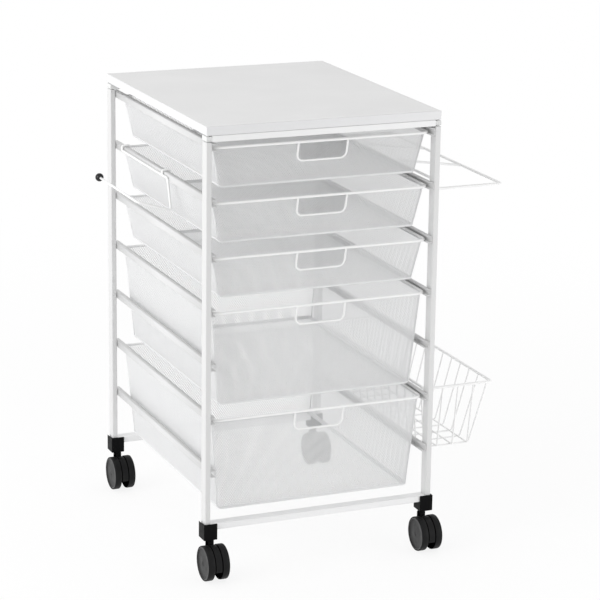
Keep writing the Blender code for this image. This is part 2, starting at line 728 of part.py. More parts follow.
def ribbon_holder():
    """Build the hooked wire bracket with its rod, and the ball on the rod's end."""
    d = RIBBON_WIRE
    r = d / 2
    seat_z = runner_z(RIBBON_RUNNER) + RUNNER_TOP + FIT + r
    xb = -(RUNNER_X + FIT + r)
    edge = -(RUNNER_X - RUNNER_REACH - FIT - r)
    tail = seat_z - r - HOOK_TAIL
    yf = FRONT_Y + RIBBON_FRONT_HOOK_Y
    yr = FRONT_Y + RIBBON_REAR_HOOK_Y
    bar_z = seat_z - RIBBON_BAR_DROP
    foot_z = seat_z - RIBBON_FOOT_DROP
    rod_z = foot_z + ROD_RISE
    xr = -(SIDE_X + ROD_OUT)
    ys = FRONT_Y + ROD_START_Y
    ye = ys + ROD_LENGTH
    turn = d * 0.6
    main = [((edge, yr, tail), 0.0), ((edge, yr, seat_z), turn), ((xb, yr, seat_z), turn),
            ((xb, yr, bar_z), turn), ((xb, FRONT_Y + RIBBON_BAR_END_Y, bar_z), ROD_BEND),
            ((xb, FRONT_Y + RIBBON_FOOT_Y, foot_z), ROD_BEND / 2),
            ((xr, ys, rod_z), ROD_BEND), ((xr, ye, rod_z), 0.0)]
    pieces = [wire("ribbon_holder", fillet_path(main, steps=2), d)]
    hook = [((edge, yf, tail), 0.0), ((edge, yf, seat_z), turn), ((xb, yf, seat_z), turn),
            ((xb, yf, bar_z - r / 2), 0.0)]
    pieces.append(wire("front_hook", fillet_path(hook, steps=2), d * 0.96))
    finish(fuse("ribbon_holder", pieces), *WHITE_STEEL)

    bm = bmesh.new()
    bmesh.ops.create_uvsphere(bm, u_segments=12, v_segments=8, radius=BALL_DIAMETER / 2)
    ball = to_object("ribbon_holder_knob", bm)
    bore = cylinder("bore", r + FIT, -BALL_DIAMETER, BALL_SEAT - BALL_DIAMETER / 2 + FIT, "Y",
                    (0.0, 0.0, 0.0), 12)
    combine(ball, bore, "DIFFERENCE")
    ball.location = (xr, ye + BALL_DIAMETER / 2 - BALL_SEAT, rod_z)
    finish(ball, *BLACK_PLASTIC)


def build():
    """Build the whole cart and set its base on the origin."""
    for side, sign in (("left", -1), ("right", 1)):
        for index in range(RUNNER_COUNT):
            runner("runner_%s_%d" % (side, index + 1), sign, index)
    fronts = (("front", FRONT_Y), ("rear", BACK_Y - POST_DEPTH))
    for word, front in fronts:
        crossbar("crossbar_%s_top" % word, front, FRAME_TOP - CROSSBAR_HEIGHT)
        crossbar("crossbar_%s_bottom" % word, front, FRAME_Z)
        for side, sign in (("left", -1), ("right", 1)):
            post("post_%s_%s" % (word, side), sign, front)
            joiner("joiner_%s_%s" % (word, side), sign, front)
            caster("%s_%s" % (word, side), sign, front)
    top_panel()
    for number, index in enumerate(DRAWER_RUNNERS, start=1):
        drawer(number, index)
    roll_loop()
    roll_basket()
    ribbon_holder()
    bpy.context.view_layer.update()
    low = Vector((1e9, 1e9, 1e9))
    high = -low
    for obj in bpy.data.objects:
        if obj.type != "MESH":
            continue
        for vert in obj.data.vertices:
            point = obj.matrix_world @ vert.co
            low = Vector(map(min, low, point))
            high = Vector(map(max, high, point))
    ROOT.location = (-(low.x + high.x) / 2, -(low.y + high.y) / 2, -low.z)
    bpy.context.view_layer.update()


build()
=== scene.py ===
"""Looks of the gift wrap cart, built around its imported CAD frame.

Metres, +Z up, the drawers open towards -Y. Each sub-assembly is a class that shapes its pieces with bmesh
operators, gives them a procedural finish and ties them to the CAD body that carries them.
"""

from __future__ import annotations

import json
import logging
import math
from abc import ABC, abstractmethod
from dataclasses import dataclass, field
from enum import Enum
from typing import Any, Callable, Iterable, Optional, Sequence, Union

import bmesh
import bpy
from bmesh.types import BMEdge, BMesh, BMFace, BMVert
from bpy.types import Material, MeshPolygon, Node, NodeSocket, NodeTree, Object
from mathutils import Matrix, Vector

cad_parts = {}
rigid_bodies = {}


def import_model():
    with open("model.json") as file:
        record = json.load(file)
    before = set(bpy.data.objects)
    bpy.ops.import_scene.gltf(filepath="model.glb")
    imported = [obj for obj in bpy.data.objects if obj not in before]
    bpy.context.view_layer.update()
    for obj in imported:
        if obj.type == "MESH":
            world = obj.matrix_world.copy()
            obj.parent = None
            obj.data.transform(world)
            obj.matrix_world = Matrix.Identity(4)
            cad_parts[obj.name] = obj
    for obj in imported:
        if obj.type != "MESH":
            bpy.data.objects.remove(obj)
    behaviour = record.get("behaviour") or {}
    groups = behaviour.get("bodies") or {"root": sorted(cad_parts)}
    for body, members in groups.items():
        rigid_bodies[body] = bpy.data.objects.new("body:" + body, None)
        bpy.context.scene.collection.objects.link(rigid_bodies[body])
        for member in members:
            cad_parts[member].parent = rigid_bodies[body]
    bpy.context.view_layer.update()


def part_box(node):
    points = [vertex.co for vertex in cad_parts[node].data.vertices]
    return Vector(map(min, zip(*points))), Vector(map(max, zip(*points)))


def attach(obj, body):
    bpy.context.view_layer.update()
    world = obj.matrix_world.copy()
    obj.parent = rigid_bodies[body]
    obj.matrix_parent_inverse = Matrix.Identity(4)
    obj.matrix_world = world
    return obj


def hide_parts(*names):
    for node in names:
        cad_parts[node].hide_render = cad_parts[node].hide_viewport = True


LOG = logging.getLogger("gift_wrap_cart")
ROOT_BODY = "cart_frame"

# Gap between pieces that lie against each other
FIT = 0.0003
# Points closer than this are one point
MERGE = 1e-6
# Slack when a place is compared with a plane
SLACK = 1e-5
# Edges up to this angle are shaded smooth
SMOOTH = math.radians(40.0)
# Edges past this angle, in radians, count as sharp
SHARP = 0.6
# Faces that meet at less than this angle, in radians, are one face
FLAT = 0.01

NO_SHIFT = (0.0, 0.0, 0.0)
ALONG_X = Vector((1.0, 0.0, 0.0))
ALONG_Y = Vector((0.0, 1.0, 0.0))
ALONG_Z = Vector((0.0, 0.0, 1.0))
WHITE = (1.0, 1.0, 1.0, 1.0)


class Slot(Enum):
    """Material slots of the part's record."""

    WHITE_STEEL = "white_steel"
    MESH_STEEL = "mesh_steel"
    JOINER = "joiner_plastic"
    PANEL = "panel_laminate"
    CASTER = "caster_plastic"
    WHEEL = "wheel_plastic"
    KNOB = "knob_plastic"


class Place(Enum):
    """A place on the cart, with its sign along an axis."""

    @property
    def word(self) -> str:
        """The place's word in node names."""
        return self.name.lower()


class Side(Place):
    """Sides of the cart, with their sign along X."""

    LEFT = -1
    RIGHT = 1


class End(Place):
    """Ends of the cart, with their sign along Y."""

    FRONT = -1
    REAR = 1


class Graph:
    """A shader's node tree in the making."""

    def __init__(self, tree: NodeTree) -> None:
        """Start on a node tree."""
        self.tree = tree

    def add(self, kind: str, inputs: Optional[dict[Union[str, int], Any]] = None,
            **settings: str) -> Node:
        """Add a node.

        Args:
            kind: the node's type, without the prefix that all of them share.
            inputs: the value of each input, or the socket that feeds it, by the input's name or place.
            settings: the node's own settings.

        Returns:
            The node.
        """
        node = self.tree.nodes.new(f"ShaderNode{kind}")
        for name, value in settings.items():
            setattr(node, name, value)
        self.feed(node, inputs or {})
        return node

    def feed(self, node: Node, inputs: dict[Union[str, int], Any]) -> None:
        """Set a node's inputs, or link them.

        Args:
            node: the node.
            inputs: the value of each input, or the socket that feeds it, by the input's name or place.
        """
        for name, value in inputs.items():
            if isinstance(value, NodeSocket):
                self.tree.links.new(value, node.inputs[name])
            else:
                node.inputs[name].default_value = value


@dataclass(frozen=True)
class Finish:
    """A surface finish, made as a procedural material on object coordinates.

    Attributes:
        name: the material's name.
        colour: linear base colour.
        roughness: mean roughness.
        drift: how far the roughness strays to either side.
        grain: spacing of the fine relief, in metres.
        relief: depth of the fine relief, in metres.
        mottle: share by which the colour fades between patches.
        patch: spacing of the patches, in metres.
        specular: level of the mirror-like share.
        octaves: detail of the patches and of the grain.
        spread: values of the patches' noise between which the roughness strays.
    """

    name: str
    colour: tuple[float, float, float]
    roughness: float
    drift: float
    grain: float
    relief: float
    mottle: float
    patch: float
    specular: float = 0.5
    octaves: tuple[float, float] = (3.0, 2.0)
    spread: tuple[float, float] = (0.3, 0.7)

    def material(self) -> Material:
        """Build the material once.

        Returns:
            The material, shared by every piece that has this finish.
        """
        found = bpy.data.materials.get(self.name)
        if found is not None:
            return found
        made = bpy.data.materials.new(self.name)
        made.use_nodes = True
        graph = Graph(made.node_tree)
        place = graph.add("TexCoord").outputs["Object"]
        patches, grain = (
            graph.add("TexNoise", {"Vector": place, "Scale": 1.0 / cell, "Detail": detail}).outputs["Fac"]
            for cell, detail in zip((self.patch, self.grain), self.octaves))
        low, high = self.spread
        rough = graph.add("MapRange", {"Value": patches, "From Min": low, "From Max": high,
                                       "To Min": self.roughness - self.drift,
                                       "To Max": self.roughness + self.drift})
        bump = graph.add("Bump", {"Strength": 1.0, "Distance": self.relief, "Height": grain})
        graph.feed(graph.tree.nodes["Principled BSDF"],
                   {"Base Color": self._colour(graph, patches), "Roughness": rough.outputs["Result"],
                    "Normal": bump.outputs["Normal"], "Specular IOR Level": self.specular})
        return made

    def _colour(self, graph: Graph, patches: NodeSocket) -> NodeSocket:
        """Make a base colour that fades a little from patch to patch.

        Args:
            graph: the material's node tree.
            patches: the patches' noise.

        Returns:
            The colour's socket.
        """
        mix = graph.add("Mix", {"Factor": patches}, data_type="RGBA")
        plain, faded = (sock for sock in mix.inputs if sock.type == "RGBA")
        plain.default_value = (*self.colour, 1.0)
        faded.default_value = (*(c * (1.0 - self.mottle) for c in self.colour), 1.0)
        return next(sock for sock in mix.outputs if sock.type == "RGBA")


POWDER_COAT = Finish("white_powder_coat", (0.72, 0.721, 0.72), 0.42, 0.05, 0.0016, 0.00006, 0.03, 0.05)
MESH_COAT = Finish("white_mesh_coat", (0.84, 0.843, 0.847), 0.46, 0.05, 0.0011, 0.00003, 0.03, 0.04)
LAMINATE = Finish("white_laminate", (0.77, 0.77, 0.77), 0.40, 0.06, 0.0009, 0.00002, 0.02, 0.12)
EDGE_BAND = Finish("white_edge_band", (0.795, 0.797, 0.805), 0.38, 0.05, 0.0009, 0.00002, 0.02, 0.08)
# The crossbars' coat is the posts' white powder coat made paler, as painted light from the floor's bounce
BAR_COAT_PAINTED_LIGHT = Finish("white_bar_coat", (0.90, 0.902, 0.903), 0.42, 0.05, 0.0016, 0.00006, 0.03, 0.05)
# The wires' white coat, paler than the posts': their own white plus painted light for the light they catch
WIRE_COAT_PAINTED_LIGHT = Finish("white_wire_coat", (0.93, 0.93, 0.928), 0.40, 0.05, 0.0012, 0.00003, 0.03, 0.05)
PALE_PLASTIC = Finish("pale_plastic", (0.80, 0.805, 0.80), 0.52, 0.05, 0.0007, 0.00003, 0.04, 0.01)
BLACK_PLASTIC = Finish("black_plastic", (0.0042, 0.0042, 0.0046), 0.42, 0.06, 0.0006, 0.00003, 0.2, 0.01,
                       0.06)
TREAD = Finish("black_tread", (0.0105, 0.0105, 0.011), 0.5, 0.06, 0.0008, 0.00004, 0.2, 0.012, 0.12)
DISC = Finish("grey_disc", (0.0225, 0.0225, 0.023), 0.40, 0.06, 0.0007, 0.00004, 0.15, 0.012, 0.2)
# Paler grey of the disc's lip: a painted highlight where the lip catches the light
DISC_LIP_HIGHLIGHT = Finish("grey_disc_lip", (0.05, 0.05, 0.051), 0.30, 0.05, 0.0007, 0.00003, 0.1, 0.012, 0.5)
# Near-black painted shade, put on the caster's faces that look along the axle to darken the gaps beside hood
# and wheels
PAINTED_SHADE_BLACK = Finish("shaded_plastic", (0.0018, 0.0018, 0.002), 0.7, 0.05, 0.0008, 0.00003, 0.1, 0.012,
                        0.0)
GLOSS_BLACK = Finish("gloss_black", (0.006, 0.006, 0.007), 0.14, 0.03, 0.004, 0.00001, 0.1, 0.01, 0.4)


def only(items: Iterable[Any], kind: type) -> list[Any]:
    """Return the items of one kind."""
    return [item for item in items if isinstance(item, kind)]


def unique(items: Iterable[Any]) -> list[Any]:
    """Return each item once, in the order given, so that every run shapes a mesh alike."""
    return list(dict.fromkeys(items))


def drawn_out(bm: BMesh, lines: list[BMEdge]) -> tuple[list[BMVert], list[BMEdge]]:
    """Extrude edges, without moving them yet.

    Args:
        bm: the mesh.
        lines: the edges.

    Returns:
        The new vertices and the new edges.
    """
    geom = bmesh.ops.extrude_edge_only(bm, edges=lines)["geom"]
    return only(geom, BMVert), only(geom, BMEdge)


class Blank:
    """A mesh in the making, shaped with bmesh operators."""

    def __init__(self) -> None:
        """Start on an empty mesh."""
        self.bm = bmesh.new()

    @property
    def everything(self) -> list[Any]:
        """All vertices, edges and faces."""
        return self.bm.verts[:] + self.bm.edges[:] + self.bm.faces[:]

    def block(self, low: Vector, high: Vector, edge: float = 0.0, segments: int = 3) -> None:
        """Add a box with rounded edges.

        Args:
            low: lowest corner.
            high: highest corner.
            edge: radius of the edges, or 0 for a plain box.
            segments: steps round each edge.
        """
        verts = bmesh.ops.create_cube(self.bm, size=1.0)["verts"]
        bmesh.ops.scale(self.bm, vec=high - low, verts=verts)
        bmesh.ops.translate(self.bm, vec=(low + high) / 2, verts=verts)
        if edge > 0.0:
            self.soften(unique(line for vert in verts for line in vert.link_edges), edge, segments)

    def chain(self, points: Iterable[Sequence[float]]) -> tuple[list[BMVert], list[BMEdge]]:
        """Add a line of edges through points, and return its vertices and edges."""
        verts = [self.bm.verts.new(point) for point in points]
        return verts, [self.bm.edges.new(pair) for pair in zip(verts, verts[1:])]

    def turned(self, points: Iterable[Sequence[float]], centre: Sequence[float], axis: Vector,
               steps: int) -> None:
        """Add an outline turned about an axis.

        Args:
            points: the outline.
            centre: a point of the axis.
            axis: its direction.
            steps: facets round the axis.
        """
        verts, lines = self.chain(points)
        bmesh.ops.spin(self.bm, geom=verts + lines, cent=centre, axis=axis, dvec=NO_SHIFT, angle=2 * math.pi,
                       steps=steps, use_merge=True, use_duplicate=False)
        bmesh.ops.remove_doubles(self.bm, verts=self.bm.verts[:], dist=MERGE)

    def soften(self, lines: Iterable[BMEdge], radius: float, segments: int = 3) -> None:
        """Round the given edges."""
        bmesh.ops.bevel(self.bm, geom=list(lines), offset=radius, offset_type="OFFSET", segments=segments,
                        profile=0.5, affect="EDGES", material=-1, clamp_overlap=True)

    def sharp_edges(self) -> list[BMEdge]:
        """Return the closed edges whose faces meet at a sharp angle."""
        return [line for line in self.bm.edges if line.is_manifold and line.calc_face_angle() > SHARP]

    def take(self, other: BMesh) -> None:
        """Add a copy of another bmesh, and free that one.

        Args:
            other: the other bmesh.
        """
        carrier = bpy.data.meshes.new("carrier")
        other.to_mesh(carrier)
        other.free()
        self.bm.from_mesh(carrier)
        bpy.data.meshes.remove(carrier)

    def to_object(self, name: str, finish: Finish, flat: bool = False, sheet: float = 0.0,
                  even: bool = False) -> Object:
        """Turn the bmesh into an object of the scene, and free it.

        Args:
            name: the object's name.
            finish: its finish.
            flat: whether large flat faces keep their flat shading beside rounded edges.
            sheet: thickness that a sheet is given, or 0 for a body.
            even: whether that thickness stays even round the sheet's folds.

        Returns:
            The object.
        """
        bmesh.ops.recalc_face_normals(self.bm, faces=self.bm.faces[:])
        mesh = bpy.data.meshes.new(name)
        self.bm.to_mesh(mesh)
        self.bm.free()
        mesh.shade_smooth()
        mesh.set_sharp_from_angle(angle=SMOOTH)
        mesh.materials.append(finish.material())
        obj = bpy.data.objects.new(name, mesh)
        bpy.context.scene.collection.objects.link(obj)
        if flat:
            obj.modifiers.new("flat_faces", "WEIGHTED_NORMAL").keep_sharp = True
        if sheet > 0.0:
            plate = obj.modifiers.new("sheet", "SOLIDIFY")
            plate.thickness = sheet
            plate.offset = 0.0
            plate.use_even_offset = even
        return obj


@dataclass(frozen=True)
class Bend:
    """A point of a wire's route, and the radius of the bend there."""

    x: float
    y: float
    z: float
    radius: float = 0.0

    @property
    def at(self) -> Vector:
        """The point."""
        return Vector((self.x, self.y, self.z))


@dataclass(frozen=True)
class Wire:
    """Round wire, bent as a machine does it: straight feeds and turns about a pin.

    Attributes:
        diameter: the wire's diameter.
        sides: facets round the wire.
        steps: facets along a right-angle bend.
        end_round: radius of a cut end's edge, as a share of the diameter.
        weld: distance at which a closed ring's ends join, as a share of the diameter.
    """

    diameter: float
    sides: int = 16
    steps: int = 8
    end_round: float = 0.22
    weld: float = 0.01

    def thinner(self, share: float) -> Wire:
        """Return like wire a little thinner, whose skin lies inside that of the wire it is welded to."""
        return Wire(self.diameter * share, self.sides, self.steps)

    def lay(self, blank: Blank, route: Sequence[Bend], closed: bool = False) -> None:
        """Add the wire along a route.

        Args:
            blank: the mesh to add it to.
            route: its end points and bends, or its bends alone if it is closed.
            closed: whether the wire is a closed ring.
        """
        start = (route[-1].at + route[0].at) / 2 if closed else route[0].at
        end = start if closed else route[-1].at
        bends = list(route) if closed else list(route[1:-1])
        stops = [start, *(bend.at for bend in bends), end]
        headings = [(far - near).normalized() for near, far in zip(stops, stops[1:])]
        ring = self._ring(blank.bm, start, headings[0])
        first = ring
        here = start
        for bend, heading, onward in zip(bends, headings, headings[1:]):
            angle = heading.angle(onward)
            cut = bend.radius * math.tan(angle / 2)
            corner = bend.at - heading * cut
            ring = self._feed(blank.bm, ring, corner - here)
            axis = heading.cross(onward).normalized()
            pin = corner + axis.cross(heading) * bend.radius
            ring = self._turn(blank.bm, ring, pin, axis, angle)
            here = bend.at + onward * cut
        ring = self._feed(blank.bm, ring, end - here)
        if closed:
            seam = unique(vert for line in first + ring for vert in line.verts)
            bmesh.ops.remove_doubles(blank.bm, verts=seam, dist=self.diameter * self.weld)
            return
        for lines in (first, ring):
            bmesh.ops.contextual_create(blank.bm, geom=lines)
            blank.soften(lines, self.diameter * self.end_round, segments=2)

    def _ring(self, bm: BMesh, at: Vector, heading: Vector) -> list[BMEdge]:
        """Add the wire's first cross-section.

        Args:
            bm: the mesh to add it to.
            at: its middle.
            heading: the wire's direction there.

        Returns:
            Its edges.
        """
        turn = heading.to_track_quat("Z", "Y").to_matrix().to_4x4()
        made = bmesh.ops.create_circle(bm, cap_ends=False, radius=self.diameter / 2, segments=self.sides,
                                       matrix=Matrix.Translation(at) @ turn)
        return unique(line for vert in made["verts"] for line in vert.link_edges)

    @staticmethod
    def _feed(bm: BMesh, ring: list[BMEdge], way: Vector) -> list[BMEdge]:
        """Draw the cross-section straight on.

        Args:
            bm: the wire's mesh.
            ring: the cross-section's edges.
            way: how far and where to.

        Returns:
            The new cross-section's edges.
        """
        verts, lines = drawn_out(bm, ring)
        bmesh.ops.translate(bm, vec=way, verts=verts)
        return lines

    def _turn(self, bm: BMesh, ring: list[BMEdge], pin: Vector, axis: Vector, angle: float) -> list[BMEdge]:
        """Draw the cross-section round a pin.

        Args:
            bm: the wire's mesh.
            ring: the cross-section's edges.
            pin: a point of the pin's axis.
            axis: that axis.
            angle: the turn, in radians.

        Returns:
            The new cross-section's edges.
        """
        steps = max(2, round(self.steps * angle / (math.pi / 2)))
        verts = unique(vert for line in ring for vert in line.verts)
        made = bmesh.ops.spin(bm, geom=verts + ring, cent=pin, axis=axis, dvec=NO_SHIFT, angle=angle,
                              steps=steps, use_duplicate=False)
        return only(made["geom_last"], BMEdge)


@dataclass(frozen=True)
class Notch:
    """A rounded cut-out at the top of a flat sheet.

    Attributes:
        at: its middle along the sheet's upper edge, from the sheet's middle.
        half: half its width.
        drop: its depth.
        corner: radius of its lower corners.
    """

    at: float
    half: float
    drop: float
    corner: float

    def planes(self, top: float) -> list[tuple[Vector, Vector]]:
        """Return the point and outward normal of each straight side of the cut-out.

        Args:
            top: height of the sheet's upper edge.

        Returns:
            The sides and floor of the cut-out, with a chamfer at each rounded corner.
        """
        floor = top - self.drop
        found = [(Vector((self.at, floor, 0.0)), -ALONG_Y)]
        for sign in (-1.0, 1.0):
            found.append((Vector((self.at + sign * self.half, top, 0.0)), ALONG_X * sign))
            slant = Vector((sign, -1.0, 0.0)).normalized()
            centre = Vector((self.at + sign * (self.half - self.corner), floor + self.corner, 0.0))
            found.append((centre + slant * self.corner, slant))
        return found


@dataclass(frozen=True)
class DiamondMesh:
    """Expanded steel mesh, cut from a lattice of diamonds.

    Attributes:
        width: width of a diamond.
        height: height of a diamond.
        strand: width and thickness of a strand.
        join: points of the cut sheet closer than this many strands are one point.
        sliver: edges of the cut sheet shorter than this share of a strand are dropped.
    """

    width: float
    height: float
    strand: float = 0.0010
    join: float = 1.1
    sliver: float = 0.01

    def sheet(self, width: float, height: float, notch: Optional[Notch] = None) -> BMesh:
        """Cut a flat sheet without thickness, with its middle at the origin.

        Args:
            width: its size along X.
            height: its size along Y.
            notch: a cut-out in the upper edge, if there is one.

        Returns:
            The sheet, one face for each diamond.
        """
        bm = self._lattice(width / 2, height / 2)
        for half, axis in ((width / 2, ALONG_X), (height / 2, ALONG_Y)):
            for sign in (-1.0, 1.0):
                self._slice(bm, bm.faces[:], axis * sign * half, axis * sign, True)
        if notch is not None:
            self._cut(bm, notch.planes(height / 2))
        bmesh.ops.remove_doubles(bm, verts=bm.verts[:], dist=self.strand * self.join)
        bmesh.ops.dissolve_degenerate(bm, dist=self.strand * self.sliver, edges=bm.edges[:])
        return bm

    def draw(self, bm: BMesh) -> BMesh:
        """Turn each edge of a bent sheet into a strand.

        Args:
            bm: the sheet.

        Returns:
            The same bmesh.
        """
        bm.normal_update()
        bmesh.ops.wireframe(bm, faces=bm.faces[:], thickness=self.strand, offset=0.0, use_replace=True,
                            use_boundary=True, use_even_offset=True)
        return bm

    def _lattice(self, half_x: float, half_y: float) -> BMesh:
        """Make a lattice of diamonds that covers a rectangle.

        Args:
            half_x: half the rectangle's width.
            half_y: half its height.

        Returns:
            The lattice, with its middle at the origin.
        """
        count = math.ceil(2 * half_x / self.width + 2 * half_y / self.height) + 2
        bm = bmesh.new()
        bmesh.ops.create_grid(bm, x_segments=count, y_segments=count, size=count / 2,
                              matrix=Matrix.Rotation(math.pi / 4, 4, "Z"))
        stretch = (self.width / math.sqrt(2.0), self.height / math.sqrt(2.0), 1.0)
        bmesh.ops.scale(bm, vec=stretch, verts=bm.verts[:])
        return bm

    def _cut(self, bm: BMesh, planes: Sequence[tuple[Vector, Vector]]) -> None:
        """Cut away what lies inside every plane.

        Args:
            bm: the sheet.
            planes: a point and the outward normal of each plane.
        """
        reach = self.width + self.height

        def within(face: BMFace, slack: float) -> bool:
            """Tell whether a face's middle lies inside every plane, give or take the slack."""
            centre = face.calc_center_median()
            return all((centre - at).dot(outward) < slack for at, outward in planes)

        for at, outward in planes:
            self._slice(bm, [face for face in bm.faces if within(face, reach)], at, outward, False)
        inside = [face for face in bm.faces if within(face, 0.0)]
        bmesh.ops.delete(bm, geom=inside, context="FACES")

    @staticmethod
    def _slice(bm: BMesh, faces: list[BMFace], at: Vector, outward: Vector, clear: bool) -> None:
        """Cut faces along a plane.

        Args:
            bm: the sheet.
            faces: the faces to cut.
            at: a point of the plane.
            outward: the plane's normal.
            clear: whether what lies outside it is removed.
        """
        lines = unique(line for face in faces for line in face.edges)
        verts = unique(vert for face in faces for vert in face.verts)
        bmesh.ops.bisect_plane(bm, geom=[*verts, *lines, *faces], dist=SLACK, plane_co=at, plane_no=outward,
                               clear_outer=clear)


@dataclass(frozen=True)
class Ring:
    """A rounded rectangle at one height of a drawer, as eight stretches.

    The stretches run anticlockwise from the left end of the front left corner: even ones are the corners and
    odd ones the straight walls after them, front, right, rear and left.

    Attributes:
        middle: the middle of the rectangle.
        half: half its width and half its length.
        corner: radius of its corners.
    """

    middle: Vector
    half: Vector
    corner: float

    def at(self, stretch: int, share: float) -> Vector:
        """Find a point of the outline.

        Args:
            stretch: the stretch's number.
            share: how far along the stretch, from 0 to 1.

        Returns:
            The point.
        """
        place, straight = divmod(stretch % 8, 2)
        if straight:
            return self._on_corner(place, 1.0).lerp(self._on_corner((place + 1) % 4, 0.0), share)
        return self._on_corner(place, share)

    def length(self, stretch: int) -> float:
        """Measure one stretch.

        Args:
            stretch: the stretch's number.

        Returns:
            Its length.
        """
        if stretch % 2:
            return (self.at(stretch, 1.0) - self.at(stretch, 0.0)).length
        return self.corner * math.pi / 2

    def _on_corner(self, place: int, share: float) -> Vector:
        """Find a point of one corner.

        Args:
            place: the corner's number, anticlockwise from the front left.
            share: how far round the corner, from 0 to 1.

        Returns:
            The point.
        """
        right, back = ((-1.0, -1.0), (1.0, -1.0), (1.0, 1.0), (-1.0, 1.0))[place]
        turn = math.radians(180.0 + 90.0 * (place + share))
        return self.middle + Vector((right * (self.half.x - self.corner) + self.corner * math.cos(turn),
                                     back * (self.half.y - self.corner) + self.corner * math.sin(turn),
                                     0.0))


class Assembly(ABC):
    """A sub-assembly of the cart."""

    @abstractmethod
    def build(self) -> None:
        """Add the sub-assembly's pieces to the scene."""

    @staticmethod
    def corners(node: str) -> tuple[Vector, Vector]:
        """Return the lowest and highest corner of a CAD node."""
        low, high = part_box(node)
        return Vector(low), Vector(high)

    @staticmethod
    def second_finish(obj: Object, finish: Finish,
                      chosen: Callable[[MeshPolygon], bool]) -> None:
        """Give some faces of a piece another finish.

        Args:
            obj: the piece.
            finish: the other finish.
            chosen: tells whether a face takes that finish.
        """
        obj.data.materials.append(finish.material())
        for face in obj.data.polygons:
            face.material_index = 1 if chosen(face) else 0

    @staticmethod
    def tie(obj: Object, body: str, slot: Slot, *stands_for: str) -> None:
        """Tie a piece to the body that carries it.

        Args:
            obj: the piece.
            body: the CAD body that it moves with.
            slot: the record's material slot for the piece; not used.
            stands_for: CAD nodes that it is shown in place of.
        """
        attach(obj, body)
        if stands_for:
            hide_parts(*stands_for)
        LOG.info("%s is carried by %s", obj.name, body)


